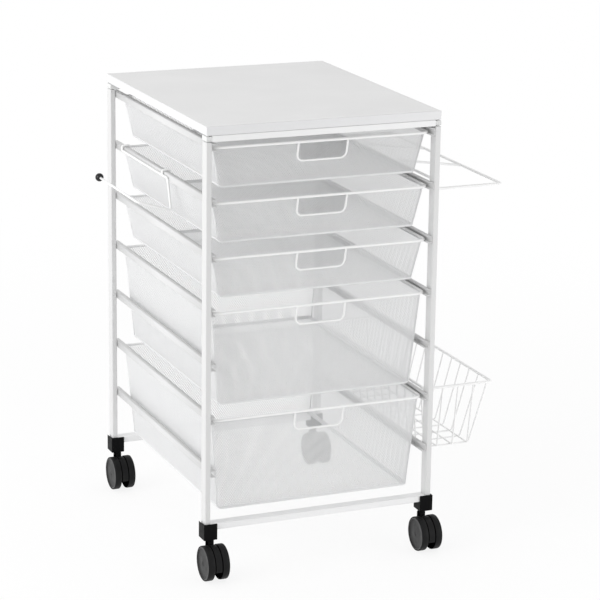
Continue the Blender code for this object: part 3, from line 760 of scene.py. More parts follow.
@dataclass
class Frame(Assembly):
    """Posts, crossbars, joiners, runners and top panel.

    Attributes:
        tube_edge: radius of the tubes' edges.
        runner_wall: sheet thickness of a runner.
        runner_bend: bend radius at the middle of a runner's sheet.
        runner_count: runners on each side.
        panel_edge: radius of the panel's edges.
        band: width of the panel's edge band.
        seam_width: width of each side of the seam beside that band.
        seam_depth: depth of that seam.
        band_tilt: faces of the panel whose normal rises or falls less than this are edge band.
        sunk_inset: border round a joiner's sunk face.
        sunk_depth: depth of that face.
        sunk_slope: width of the step down to that face.
        groove: height of the grooves above and below a joiner.
        groove_depth: depth of those grooves.
        joiner_edge: radius of a joiner's edges.
        shortest_edge: edges of a joiner shorter than this stay sharp.
        rib_half: half the width of the rib in a joiner's sunk face.
    """

    tube_edge: float = 0.0014
    runner_wall: float = 0.0012
    runner_bend: float = 0.0016
    runner_count: int = 7
    panel_edge: float = 0.0008
    band: float = 0.0011
    seam_width: float = 0.00012
    seam_depth: float = 0.00010
    band_tilt: float = 0.5
    sunk_inset: float = 0.0015
    sunk_depth: float = 0.0007
    sunk_slope: float = 0.0002
    groove: float = 0.0013
    groove_depth: float = 0.0036
    joiner_edge: float = 0.0006
    shortest_edge: float = 0.009
    rib_half: float = 0.0008

    def build(self) -> None:
        """Add the frame's pieces."""
        for end in End:
            for level in ("top", "bottom"):
                # Crossbars take the paler coat: painted light from the floor's bounce
                self._tube(f"crossbar_{end.word}_{level}", BAR_COAT_PAINTED_LIGHT)
            for side in Side:
                self._tube(f"post_{end.word}_{side.word}", POWDER_COAT)
                self._joiner(end, side)
        for side in Side:
            for number in range(1, self.runner_count + 1):
                self._runner(side, number)
        self._panel()

    def _tube(self, node: str, coat: Finish) -> None:
        """Add a rectangular tube in place of a CAD node.

        Args:
            node: the node.
            coat: the tube's finish.
        """
        blank = Blank()
        blank.block(*self.corners(node), self.tube_edge, segments=4)
        self.tie(blank.to_object(f"{node}_tube", coat, flat=True), ROOT_BODY, Slot.WHITE_STEEL, node)

    def _joiner(self, end: End, side: Side) -> None:
        """Add the visible block of a corner joiner, with its sunk end face and rib.

        Args:
            end: the end of the cart.
            side: the side of the cart.
        """
        node = f"joiner_{end.word}_{side.word}"
        low, high = self.corners(f"post_{end.word}_{side.word}")
        low.z = high.z + FIT
        high.z = self.corners(node)[1].z
        blank = Blank()
        sunk = Vector((self.groove_depth, self.groove_depth, 0.0))
        blank.block(low + sunk, high - sunk)
        low.z += self.groove
        high.z -= self.groove
        core = set(blank.bm.faces)
        blank.block(low, high)
        outer = [item for item in blank.bm.faces if item not in core]
        face = min(outer, key=lambda item: item.calc_center_median().y * -end.value)
        for width, depth in ((self.sunk_inset, 0.0), (self.sunk_slope, -self.sunk_depth)):
            bmesh.ops.inset_region(blank.bm, faces=[face], thickness=width, depth=depth)
        long_edges = [line for line in blank.sharp_edges() if line.calc_length() > self.shortest_edge]
        blank.soften(long_edges, self.joiner_edge, segments=2)
        rib = Vector((self.rib_half, self.sunk_depth, (high.z - low.z) / 2 - self.sunk_inset))
        wall = (low + high) / 2
        wall.y = (low.y if end is End.FRONT else high.y) - end.value * self.sunk_depth
        blank.block(wall - rib, wall + rib)
        self.tie(blank.to_object(f"{node}_block", PALE_PLASTIC), ROOT_BODY, Slot.JOINER, node)

    def _runner(self, side: Side, number: int) -> None:
        """Add a C-section runner, folded from sheet.

        Args:
            side: the side of the cart.
            number: the runner's place in its node's name.
        """
        node = f"runner_{side.word}_{number}"
        low, high = self.corners(node)
        half = self.runner_wall / 2
        lip, web = (low.x, high.x) if side is Side.RIGHT else (high.x, low.x)
        web -= side.value * half
        top, bottom = high.z - half, low.z + half
        blank = Blank()
        section = ((lip, top), (web, top), (web, bottom), (lip, bottom))
        _, lines = blank.chain((x, low.y, z) for x, z in section)
        drawn, _ = drawn_out(blank.bm, lines)
        bmesh.ops.translate(blank.bm, vec=(0.0, high.y - low.y, 0.0), verts=drawn)
        blank.soften(blank.sharp_edges(), self.runner_bend, segments=4)
        obj = blank.to_object(f"{node}_channel", POWDER_COAT, sheet=self.runner_wall, even=True)
        self.tie(obj, ROOT_BODY, Slot.WHITE_STEEL, node)

    def _panel(self) -> None:
        """Add the laminated top with the fine seam of its edge band."""
        blank = Blank()
        blank.block(*self.corners("top_panel"), self.panel_edge)
        top = max(blank.bm.faces, key=lambda item: item.calc_center_median().z)
        steps = ((self.band, 0.0), (self.seam_width, -self.seam_depth), (self.seam_width, self.seam_depth))
        for width, depth in steps:
            bmesh.ops.inset_region(blank.bm, faces=[top], thickness=width, depth=depth)
        obj = blank.to_object("top_panel_board", LAMINATE, flat=True)
        self.second_finish(obj, EDGE_BAND, lambda face: abs(face.normal.z) < self.band_tilt)
        self.tie(obj, ROOT_BODY, Slot.PANEL, "top_panel")


@dataclass
class Drawer(Assembly):
    """One drawer: wire rim with its handle, and a basket of diamond mesh.

    Attributes:
        number: the drawer's place from the top.
        rim: wire of the rim.
        grip: wire of the handle.
        wall_mesh: mesh of the walls.
        floor_mesh: mesh of the floor.
        rim_corner: outer corner radius of the rim.
        floor_corner: corner radius at the foot of the walls.
        handle_width: width of the handle between wire centres.
        handle_drop: drop of the handle below the rim's centre.
        handle_corner: bend radius of the handle.
        end_slope: how far an end wall leans in over its height.
        side_slope: how far a side wall leans in over its height.
        seam: width of the solid seam beside each corner.
        fold: radius of the fold round the floor.
        fold_steps: facets of that fold.
        corner_steps: facets of the floor's corners.
        flange: solid border of the floor.
        sheet: thickness of the solid seams.
        top: outline of the walls' upper edge, known once the drawer is built.
        foot: outline of the walls' foot, known once the drawer is built.
    """

    number: int
    rim: Wire = Wire(0.005, 20, 10)
    grip: Wire = Wire(0.004, 18, 10)
    wall_mesh: DiamondMesh = DiamondMesh(0.0045, 0.0064)
    floor_mesh: DiamondMesh = DiamondMesh(0.0054, 0.0079)
    rim_corner: float = 0.019
    floor_corner: float = 0.007
    handle_width: float = 0.095
    handle_drop: float = 0.036
    handle_corner: float = 0.012
    end_slope: float = 0.0145
    side_slope: float = 0.016
    seam: float = 0.0026
    fold: float = 0.004
    fold_steps: int = 4
    corner_steps: int = 6
    flange: float = 0.002
    sheet: float = 0.0012
    top: Ring = field(init=False)
    foot: Ring = field(init=False)

    @property
    def body(self) -> str:
        """The drawer's CAD body."""
        return f"drawer_{self.number}"

    def build(self) -> None:
        """Add the drawer's pieces."""
        self._wires()
        low, high = self.corners(f"{self.body}_mesh")
        middle = (low + high) / 2
        skin = self.sheet / 2
        share = (high.z - low.z - self.fold) / (high.z - low.z)
        wide, deep = (high.x - low.x) / 2 - skin, (high.y - low.y) / 2 - skin
        self.top = Ring(Vector((middle.x, middle.y, high.z)), Vector((wide, deep)),
                        self.rim_corner - self.rim.diameter)
        self.foot = Ring(Vector((middle.x, middle.y, low.z + self.fold)),
                         Vector((wide - self.side_slope * share, deep - self.end_slope * share)),
                         self.floor_corner)
        self._seams()
        self._walls()
        self._floor()

    def _wires(self) -> None:
        """Add the rim and the handle that is welded to it."""
        low, high = self.corners(f"{self.body}_rim")
        half = self.rim.diameter / 2
        height = high.z - half
        left, right, front, rear = low.x + half, high.x - half, low.y + half, high.y - half
        blank = Blank()
        spots = ((left, front), (right, front), (right, rear), (left, rear))
        self.rim.lay(blank, [Bend(x, y, height, self.rim_corner - half) for x, y in spots], True)
        mesh_low, mesh_high = self.corners(f"{self.body}_mesh")
        lean = self.end_slope / (mesh_high.z - mesh_low.z)
        middle = (low.x + high.x) / 2
        foot = front + half + self.handle_drop * lean
        near, far = middle - self.handle_width / 2, middle + self.handle_width / 2
        bottom = height - self.handle_drop
        self.grip.lay(blank, [Bend(near, front, height), Bend(near, foot, bottom, self.handle_corner),
                              Bend(far, foot, bottom, self.handle_corner), Bend(far, front, height)])
        obj = blank.to_object(f"{self.body}_wires", WIRE_COAT_PAINTED_LIGHT)
        self.tie(obj, self.body, Slot.WHITE_STEEL, f"{self.body}_rim")

    def _seams(self) -> None:
        """Add the solid seams: a strip beside each corner and a fold round the floor."""
        blank = Blank()
        for stretch in (3, 7):
            width = self.seam / self.top.length(stretch)
            for shares in ((0.0, width), (1.0 - width, 1.0)):
                _, lines = blank.chain(self.top.at(stretch, share) for share in shares)
                drawn, _ = drawn_out(blank.bm, lines)
                for vert, share in zip(drawn, shares):
                    vert.co = self.foot.at(stretch, share)
        self._floor_fold(blank)
        obj = blank.to_object(f"{self.body}_seams", MESH_COAT, sheet=self.sheet)
        self.tie(obj, self.body, Slot.MESH_STEEL)

    def _floor_fold(self, blank: Blank) -> None:
        """Add the quarter-round fold and flat border round the floor.

        Args:
            blank: the mesh to add them to.
        """
        foot = self.foot
        bm = bmesh.new()
        bmesh.ops.create_grid(bm, x_segments=1, y_segments=1, size=1.0)
        bmesh.ops.scale(bm, vec=(foot.half.x, foot.half.y, 1.0), verts=bm.verts[:])
        bmesh.ops.bevel(bm, geom=bm.verts[:], offset=foot.corner, offset_type="OFFSET", profile=0.5,
                        segments=self.corner_steps, affect="VERTICES", material=-1)
        bmesh.ops.translate(bm, vec=foot.middle, verts=bm.verts[:])
        bmesh.ops.delete(bm, geom=bm.faces[:], context="FACES_ONLY")
        ring = bm.edges[:]
        turns = [k * math.pi / (2 * self.fold_steps) for k in range(1, self.fold_steps + 1)]
        stops = [(self.fold * (1.0 - math.cos(turn)), self.fold * math.sin(turn)) for turn in turns]
        stops.append((self.fold + self.flange, self.fold))
        inset = 0.0
        for step, drop in stops:
            drawn, ring = drawn_out(bm, ring)
            shrink = [(half - step) / (half - inset) for half in (foot.half.x, foot.half.y)]
            bmesh.ops.scale(bm, vec=(*shrink, 1.0), verts=drawn, space=Matrix.Translation(-foot.middle))
            lift = foot.middle.z - drop - drawn[0].co.z
            bmesh.ops.translate(bm, vec=(0.0, 0.0, lift), verts=drawn)
            inset = step
        blank.take(bm)

    def _walls(self) -> None:
        """Add the mesh walls: a sheet bent round the front and right, and one round the rear and left."""
        height = self.top.middle.z - self.foot.middle.z
        slant = math.hypot(height, self.end_slope)
        for word, first in (("front", 0), ("rear", 4)):
            stretches = range(first, first + 4)
            lengths = [(self.top.length(item) + self.foot.length(item)) / 2 for item in stretches]
            notch = None
            stands_for: tuple[str, ...] = ()
            if word == "front":
                handle = lengths[0] + lengths[1] / 2 - sum(lengths) / 2
                notch = Notch(handle, self.handle_width / 2, self.handle_drop * slant / height,
                              self.handle_corner)
                stands_for = (f"{self.body}_mesh",)
            bm = self.wall_mesh.sheet(sum(lengths), slant, notch)
            for vert in bm.verts:
                vert.co = self._bent(vert.co, stretches, lengths, slant)
            self._mesh_piece(word, self.wall_mesh.draw(bm), *stands_for)

    def _bent(self, at: Vector, stretches: Sequence[int], lengths: Sequence[float], slant: float) -> Vector:
        """Return where a point of a flat sheet comes to lie on the walls.

        Args:
            at: the point on the sheet, whose middle is the origin.
            stretches: the stretches of the rings that the sheet follows.
            lengths: the length of sheet on each of them.
            slant: the sheet's height.

        Returns:
            The point on the walls.
        """
        along = at.x + sum(lengths) / 2
        for stretch, length in zip(stretches, lengths):
            if along <= length or stretch == stretches[-1]:
                break
            along -= length
        share = min(max(along / length, 0.0), 1.0)
        return self.top.at(stretch, share).lerp(self.foot.at(stretch, share), 0.5 - at.y / slant)

    def _floor(self) -> None:
        """Add the mesh floor inside its solid border."""
        edge = 2 * (self.fold + self.flange - self.sheet)
        bm = self.floor_mesh.sheet(2 * self.foot.half.x - edge, 2 * self.foot.half.y - edge)
        bmesh.ops.translate(bm, vec=self.foot.middle - ALONG_Z * self.fold, verts=bm.verts[:])
        self._mesh_piece("floor", self.floor_mesh.draw(bm))

    def _mesh_piece(self, word: str, bm: BMesh, *stands_for: str) -> None:
        """Add one of the basket's mesh pieces.

        Args:
            word: its word in the piece's name.
            bm: its mesh.
            stands_for: CAD nodes that it is shown in place of.
        """
        blank = Blank()
        blank.take(bm)
        obj = blank.to_object(f"{self.body}_mesh_{word}", MESH_COAT)
        self.tie(obj, self.body, Slot.MESH_STEEL, *stands_for)


@dataclass
class Caster(Assembly):
    """One twin-wheel caster: bracket, swivelling body and two wheels.

    Attributes:
        end: the end of the cart.
        side: the side of the cart.
        bracket_base: height of the bracket's solid base.
        bracket_lip: height of its walls above that base.
        bracket_edge: radius of its edges.
        rear_drop: how far the bracket's wall behind the post lies below the others.
        hood_inset: how far the hood's rim lies inside the wheels' rims.
        hood_gap: gap between the hood and each wheel.
        hood_from: angle where the hood starts behind, in degrees from +Y over the top.
        hood_to: angle where the hood ends in front.
        hood_bore: radius of the hood's inner edge, round the axle.
        hood_edge: radius of the hood's edges.
        hood_steps: facets along the hood.
        stem: diameter of the stem.
        stem_inset: distance of the stem's axis behind the post's front.
        stem_foot: height of the stem's foot over the axle, as a share of the hood's radius.
        stem_steps: facets round the stem.
        collar: diameter of the collar at the stem's foot.
        collar_edge: chamfer of that collar.
        collar_gap: gap between the collar and the bracket.
        wheel_bore: radius of a wheel's bore.
        wheel_steps: facets round a wheel.
        shoulder: radius of a tyre's shoulders.
        shoulder_cut: how far a shoulder's middle lies inside the tyre's corner.
        outer_shoulder: how far the tyre's outer face starts below its radius, and the depth of its groove.
        rim_inset: how far the disc's rim lies below the tyre's radius.
        rim_step: height and depth of the step between the tyre's outer face and its groove.
        disc_lip: the disc's lip, as depth below the tyre's outer face and distance inside the disc's rim.
        dish: depth of the dished face, and the share of the rim's radius where it has that depth.
        disc_hub: the disc's hub, as depth below the tyre's outer face and radius.
        lip_width: width of the band at the disc's rim that takes the painted highlight.
        shade_turn: faces whose normal lies further than this along the axle take the near-black painted
            shade.
    """

    end: End
    side: Side
    bracket_base: float = 0.018
    bracket_lip: float = 0.0125
    bracket_edge: float = 0.00096
    rear_drop: float = 0.0045
    hood_inset: float = 0.001
    hood_gap: float = 0.0014
    hood_from: float = -60.0
    hood_to: float = 198.0
    hood_bore: float = 0.0035
    hood_edge: float = 0.0012
    hood_steps: int = 48
    stem: float = 0.0125
    stem_inset: float = 0.0115
    stem_foot: float = 0.6
    stem_steps: int = 36
    collar: float = 0.0155
    collar_edge: float = 0.001
    collar_gap: float = 0.0045
    wheel_bore: float = 0.0033
    wheel_steps: int = 72
    shoulder: float = 0.0016
    shoulder_cut: float = 0.0005
    outer_shoulder: float = 0.0014
    rim_inset: float = 0.0020
    rim_step: tuple[float, float] = (0.0002, 0.0003)
    disc_lip: tuple[tuple[float, float], ...] = ((0.0014, 0.0), (0.0012, 0.0002), (0.0003, 0.0016),
                                                 (0.0003, 0.0020), (0.0013, 0.0026), (0.0020, 0.0042))
    dish: tuple[float, float] = (0.0016, 0.5)
    disc_hub: tuple[tuple[float, float], ...] = ((0.0014, 0.0046), (0.0019, 0.0040), (0.0018, 0.0))
    lip_width: float = 0.0021
    shade_turn: float = 0.6

    @property
    def tag(self) -> str:
        """The corner's words in node names."""
        return f"{self.end.word}_{self.side.word}"

    def build(self) -> None:
        """Add the caster's pieces."""
        self._bracket()
        self._body()
        for wheel in Side:
            self._wheel(wheel)

    def _bracket(self) -> None:
        """Add the bracket: a block with walls on three sides of the post."""
        node = f"caster_bracket_{self.tag}"
        post_low, post_high = self.corners(f"post_{self.tag}")
        low, high = self.corners(node)
        base = low.z + self.bracket_base
        outer = post_high.x + FIT if self.side is Side.RIGHT else post_low.x - FIT
        near, far = post_low.y - FIT, post_high.y + FIT
        blank = Blank()
        blank.block(low, Vector((high.x, high.y, base)))
        for at, across in ((ALONG_X * outer, ALONG_X), (ALONG_Y * near, ALONG_Y), (ALONG_Y * far, ALONG_Y)):
            bmesh.ops.bisect_plane(blank.bm, geom=blank.everything, dist=MERGE, plane_co=at, plane_no=across)
        rising = []
        for face in blank.bm.faces:
            centre = face.calc_center_median()
            beyond = (centre.x - outer) * self.side.value > 0.0
            if centre.z > base - SLACK and (beyond or not near < centre.y < far):
                rising.append(face)
        geom = bmesh.ops.extrude_face_region(blank.bm, geom=rising)["geom"]
        raised = only(geom, BMVert)
        bmesh.ops.delete(blank.bm, geom=rising, context="FACES_ONLY")
        bmesh.ops.translate(blank.bm, vec=ALONG_Z * self.bracket_lip, verts=raised)
        behind = [vert for vert in raised
                  if vert.co.y > post_high.y and (vert.co.x - outer) * self.side.value < SLACK]
        bmesh.ops.translate(blank.bm, vec=ALONG_Z * -self.rear_drop, verts=behind)
        bmesh.ops.dissolve_limit(blank.bm, angle_limit=FLAT, verts=blank.bm.verts[:], edges=blank.bm.edges[:])
        blank.soften(blank.sharp_edges(), self.bracket_edge)
        obj = blank.to_object(f"{node}_cup", BLACK_PLASTIC, flat=True)
        self.tie(obj, ROOT_BODY, Slot.CASTER, node)

    def _body(self) -> None:
        """Add the swivelling body: a hood between the wheels, and the stem."""
        node = f"caster_body_{self.tag}"
        axle, radius, inner = self._axle(Side.LEFT)
        low, high = self.corners(node)
        middle = (low.x + high.x) / 2
        half = middle - inner - self.hood_gap
        reach = radius - self.hood_inset
        start = math.radians(self.hood_from)
        edge = Vector((0.0, math.cos(start), math.sin(start)))
        pin = Vector((middle, axle.y, axle.z))
        spots = ((-half, self.hood_bore), (half, self.hood_bore), (half, reach), (-half, reach))
        blank = Blank()
        face = blank.bm.faces.new([blank.bm.verts.new(pin + ALONG_X * x + edge * r) for x, r in spots])
        blank.soften(face.edges[:], self.hood_edge)
        bmesh.ops.spin(blank.bm, geom=blank.everything, cent=pin, axis=ALONG_X, dvec=NO_SHIFT,
                       angle=math.radians(self.hood_to - self.hood_from), steps=self.hood_steps,
                       use_duplicate=False)
        self._stem(blank, middle, high.z, axle.z + reach * self.stem_foot)
        hood = blank.to_object(f"{node}_hood", TREAD)
        # Faces turned along the axle (the hood's sides by the wheels, and the sides of the stem and collar)
        # take near-black painted shade for the dark gaps
        self.second_finish(hood, PAINTED_SHADE_BLACK, lambda item: abs(item.normal.x) > self.shade_turn)
        self.tie(hood, f"caster_{self.tag}", Slot.CASTER, node)

    def _stem(self, blank: Blank, x: float, top: float, foot: float) -> None:
        """Add the round stem with the collar at its foot.

        Args:
            blank: the mesh to add it to.
            x: its axis along X.
            top: height of its top.
            foot: height of its foot.
        """
        y = self.corners(f"post_{self.tag}")[0].y + self.stem_inset
        seat = self.corners(f"caster_bracket_{self.tag}")[0].z - self.collar_gap
        wide, slim, edge = self.collar / 2, self.stem / 2, self.collar_edge
        outline = ((0.0, foot), (wide, foot), (wide, seat - edge), (wide - edge, seat), (slim, seat),
                   (slim, top), (0.0, top))
        blank.turned(((x + r, y, z) for r, z in outline), (x, y, 0.0), ALONG_Z, self.stem_steps)

    def _axle(self, wheel: Side) -> tuple[Vector, float, float]:
        """Measure a wheel.

        Args:
            wheel: the wheel's side of the caster.

        Returns:
            Its centre, its radius and the place of its inner face along X.
        """
        low, high = self.corners(f"caster_wheel_{self.tag}_{wheel.word}")
        inner = high.x if wheel is Side.LEFT else low.x
        return (low + high) / 2, (high.z - low.z) / 2, inner

    def _wheel(self, wheel: Side) -> None:
        """Add one wheel: a tread with rounded shoulders and a dished disc.

        Args:
            wheel: the wheel's side of the caster.
        """
        node = f"caster_wheel_{self.tag}_{wheel.word}"
        body = f"wheel_{self.tag}_{wheel.word}"
        low, high = self.corners(node)
        centre, radius, inner = self._axle(wheel)
        width = high.x - low.x
        out = wheel.value
        rim = radius - self.rim_inset
        big, cut = self.shoulder, self.shoulder_cut
        rise, dip = self.rim_step
        tread = [(0.0, self.wheel_bore), (0.0, radius - big), (cut, radius - cut), (big, radius),
                 (width - big, radius), (width - cut, radius - cut), (width, radius - self.outer_shoulder),
                 (width - dip, rim + rise), (width - self.outer_shoulder, rim)]
        disc = [(width - depth, rim - inside) for depth, inside in self.disc_lip]
        disc.append((width - self.dish[0], rim * self.dish[1]))
        disc += [(width - depth, r) for depth, r in self.disc_hub]

        def turned(outline: Sequence[tuple[float, float]], word: str, finish: Finish) -> Object:
            """Turn an outline about the axle.

            Args:
                outline: its points, as distance from the inner face and radius.
                word: the last word of the piece's name.
                finish: the piece's finish.

            Returns:
                The piece.
            """
            blank = Blank()
            points = ((inner + out * x, centre.y, centre.z + r) for x, r in outline)
            blank.turned(points, centre, ALONG_X, self.wheel_steps)
            return blank.to_object(f"{node}_{word}", finish)

        def on_lip(item: MeshPolygon) -> bool:
            """Tell whether a face of the disc lies on its lip."""
            return math.hypot(item.center.y - centre.y, item.center.z - centre.z) > rim - self.lip_width

        tyre = turned(tread, "tyre", TREAD)
        # The tyre's inner face, towards the hood, takes near-black painted shade for the dark gap beside the
        # hood
        self.second_finish(tyre, PAINTED_SHADE_BLACK, lambda item: item.normal.x * out < -self.shade_turn)
        self.tie(tyre, body, Slot.WHEEL, node)
        face = turned(disc, "disc", DISC)
        # The lip's band takes a paler grey, a painted highlight
        self.second_finish(face, DISC_LIP_HIGHLIGHT, on_lip)
        self.tie(face, body, Slot.WHEEL)


@dataclass
class RollRack(Assembly):
    """The wire loop and the wire basket below it, hooked to the right side.

    Attributes:
        bar: wire of the loop and of the basket's rim.
        grid: wire of the basket's ribs and stringers.
        corner: bend radius at the corners.
        inset: how far the inner wire lies inside the posts' outer faces.
        step: how far out the loop's arms reach before they level off.
        dividers: cross wires of the loop.
        ribs: cross ribs of the basket.
        rib_margin: share of the basket's length before the first rib and after the last.
        stringers: lengthwise wires of the basket.
        floor_bend: bend radius of ribs and stringers at the basket's floor.
        stringer_lift: height of the stringers over the ribs, as a share of their diameter.
        out_taper: how far the basket's outer wall leans in.
        in_taper: gap between the posts and the basket's floor.
        end_taper: how far its ends lean in.
        drop: how far the basket's rim lies below its hooks.
        depth: depth of the basket.
        hook_inset: distance of a hook from the rack's end.
        hook_tail: length of a hook's turned-down end.
        hook_turn: bend radius of a hook, as a share of the wire's diameter.
        hook_rise: bend radius where a hook leaves the rim, as a share of its rise.
        welded: diameter of a welded-on wire, as a share of the bar's.
        face: the posts' outer face, known once the rack is built.
    """

    bar: Wire = Wire(0.005, 18, 8)
    grid: Wire = Wire(0.003, 12, 6)
    corner: float = 0.006
    inset: float = 0.0045
    step: float = 0.0105
    dividers: int = 2
    ribs: int = 13
    rib_margin: float = 0.02
    stringers: int = 3
    floor_bend: float = 0.006
    stringer_lift: float = 0.7
    out_taper: float = 0.031
    in_taper: float = 0.011
    end_taper: float = 0.019
    drop: float = 0.0033
    depth: float = 0.125
    hook_inset: float = 0.077
    hook_tail: float = 0.004
    hook_turn: float = 0.6
    hook_rise: float = 0.8
    welded: float = 0.96
    face: float = field(init=False)

    def build(self) -> None:
        """Add the loop and the basket."""
        self.face = self.corners("post_front_right")[1].x
        self._loop()
        self._basket()

    def _hooks(self, blank: Blank, near: float, far: float, seat: float, node: str,
               rise: float = 0.0) -> None:
        """Add the hooks that lie over the runner's flange and turn down inside it.

        Args:
            blank: the mesh to add them to.
            near: the rack's front end.
            far: its rear end.
            seat: height of the hooks' wire where it lies over the flange.
            node: the runner.
            rise: height of that wire over the wire that carries the hooks.
        """
        half = self.bar.diameter / 2
        edge = self.corners(node)[0].x - FIT - half
        wire = self.face - self.inset
        for y in (near + self.hook_inset, far - self.hook_inset):
            start = [Bend(wire + half / 2, y, seat)]
            if rise > 0.0:
                start = [Bend(wire, y, seat - rise), Bend(wire, y, seat, rise * self.hook_rise)]
            end = [Bend(edge, y, seat, self.bar.diameter * self.hook_turn),
                   Bend(edge, y, seat - half - self.hook_tail)]
            self.bar.thinner(self.welded).lay(blank, start + end)

    def _loop(self) -> None:
        """Add the upper loop with its dividers."""
        low, high = self.corners("roll_loop")
        half = self.bar.diameter / 2
        near, far = low.y + half, high.y - half
        seat, level = high.z - half, low.z + half
        inner, mid, outer = self.face - self.inset, self.face + self.step, high.x - half
        bend = self.corner / 2
        arm = ((inner, seat, bend), (mid, level, bend), (outer, level, self.corner))
        route = [Bend(x, near, z, radius) for x, z, radius in arm]
        route += [Bend(x, far, z, radius) for x, z, radius in reversed(arm)]
        blank = Blank()
        self.bar.lay(blank, route, True)
        for k in range(1, self.dividers + 1):
            y = near + (far - near) * k / (self.dividers + 1)
            ends = [Bend(inner - half / 2, y, seat), Bend(outer + half / 2, y, level)]
            self.bar.thinner(self.welded).lay(blank, ends)
        self._hooks(blank, near, far, seat, "runner_right_2")
        self.tie(blank.to_object("roll_loop_wires", WIRE_COAT_PAINTED_LIGHT), ROOT_BODY, Slot.WHITE_STEEL, "roll_loop")

    def _basket(self) -> None:
        """Add the lower basket of bent ribs and stringers."""
        low, high = self.corners("roll_basket")
        half = self.bar.diameter / 2
        near, far = low.y + half, high.y - half
        seat = self.corners("runner_right_6")[1].z + FIT + half
        rim = seat - self.drop
        floor = rim - self.depth
        inner, outer = self.face - self.inset, high.x - half
        blank = Blank()
        spots = ((inner, near), (outer, near), (outer, far), (inner, far))
        self.bar.lay(blank, [Bend(x, y, rim, self.corner) for x, y in spots], True)
        in_low, out_low = self.face + self.in_taper, outer - self.out_taper
        near_low, far_low = near + self.end_taper, far - self.end_taper
        fold = self.floor_bend
        for k in range(self.ribs):
            share = self.rib_margin + (1.0 - 2 * self.rib_margin) * k / (self.ribs - 1)
            y_low = near_low + (far_low - near_low) * share
            y_top = near + self.corner + (far - near - 2 * self.corner) * share
            self.grid.lay(blank, [Bend(inner, y_top, rim), Bend(in_low, y_low, floor, fold),
                                  Bend(out_low, y_low, floor, fold), Bend(outer, y_top, rim)])
        lift = floor + self.grid.diameter * self.stringer_lift
        for k in range(self.stringers):
            x = inner + self.corner + (outer - inner - 2 * self.corner) * (k + 1) / (self.stringers + 1)
            self.grid.lay(blank, [Bend(x, near, rim), Bend(x, near_low, lift, fold),
                                  Bend(x, far_low, lift, fold), Bend(x, far, rim)])
        self._hooks(blank, near, far, seat, "runner_right_6", self.drop)
        self.tie(blank.to_object("roll_basket_wires", WIRE_COAT_PAINTED_LIGHT), ROOT_BODY, Slot.WHITE_STEEL, "roll_basket")


@dataclass
class RibbonHolder(Assembly):
    """The hooked wire bracket on the left side, with its rod and end ball.

    Attributes:
        wire: wire of the bracket and rod.
        front_hook: distance of the front hook ahead of the rear one.
        bar_end: distance of the bar's front end ahead of the rear hook.
        foot_ahead: distance of the arm's foot ahead of the rear hook.
        rod_ahead: distance of the rod's front end ahead of the rear hook.
        bar_drop: how far the bar lies below the hooks' tops.
        foot_drop: how far the arm's foot lies below them.
        rise: how far the rod lies above the arm's foot.
        rod_bend: bend radius between arm and rod.
        hook_tail: length of a hook's turned-down end.
        hook_turn: bend radius of a hook, as a share of the wire's diameter.
        welded: diameter of the front hook's wire, as a share of the bar's.
        ball_seat: depth of the rod in the ball.
        ball_facets: facets round the ball and from end to end.
    """

    wire: Wire = Wire(0.0045, 18, 8)
    front_hook: float = 0.227
    bar_end: float = 0.255
    foot_ahead: float = 0.273
    rod_ahead: float = 0.267
    bar_drop: float = 0.0092
    foot_drop: float = 0.065
    rise: float = 0.0185
    rod_bend: float = 0.008
    hook_tail: float = 0.004
    hook_turn: float = 0.6
    welded: float = 0.97
    ball_seat: float = 0.009
    ball_facets: tuple[int, int] = (48, 24)

    def build(self) -> None:
        """Add the bracket with its rod, and the ball."""
        ball_low, ball_high = self.corners("ribbon_holder_knob")
        runner_low, runner_high = self.corners("runner_left_2")
        size = self.wire.diameter
        half = size / 2
        seat = runner_high.z + FIT + half
        lip = runner_high.x + FIT + half
        back = runner_low.x - FIT - half
        tail = seat - half - self.hook_tail
        rear = self.corners("ribbon_holder")[1].y - half
        ball_radius = (ball_high.z - ball_low.z) / 2
        centre = (ball_low + ball_high) / 2
        centre.y = ball_high.y - ball_radius
        bar, foot = seat - self.bar_drop, seat - self.foot_drop
        rod = foot + self.rise
        turn = size * self.hook_turn

        def hook(y: float) -> list[Bend]:
            """Return the route of a hook, from its tail over the runner to the bracket's side."""
            return [Bend(lip, y, tail), Bend(lip, y, seat, turn), Bend(back, y, seat, turn)]

        blank = Blank()
        arm = [Bend(back, rear, bar, turn), Bend(back, rear - self.bar_end, bar, self.rod_bend),
               Bend(back, rear - self.foot_ahead, foot, self.rod_bend / 2),
               Bend(centre.x, rear - self.rod_ahead, rod, self.rod_bend),
               Bend(centre.x, centre.y - ball_radius + self.ball_seat, rod)]
        self.wire.lay(blank, hook(rear) + arm)
        front = rear - self.front_hook
        self.wire.thinner(self.welded).lay(blank, hook(front) + [Bend(back, front, bar - half / 2)])
        wires = blank.to_object("ribbon_holder_wires", WIRE_COAT_PAINTED_LIGHT)
        self.tie(wires, ROOT_BODY, Slot.WHITE_STEEL, "ribbon_holder")
        ball = Blank()
        around, along = self.ball_facets
        bmesh.ops.create_uvsphere(ball.bm, u_segments=around, v_segments=along, radius=ball_radius,
                                  matrix=Matrix.Translation(centre) @ Matrix.Rotation(math.pi / 2, 4, "X"))
        knob = ball.to_object("ribbon_holder_ball", GLOSS_BLACK)
        self.tie(knob, ROOT_BODY, Slot.KNOB, "ribbon_holder_knob")


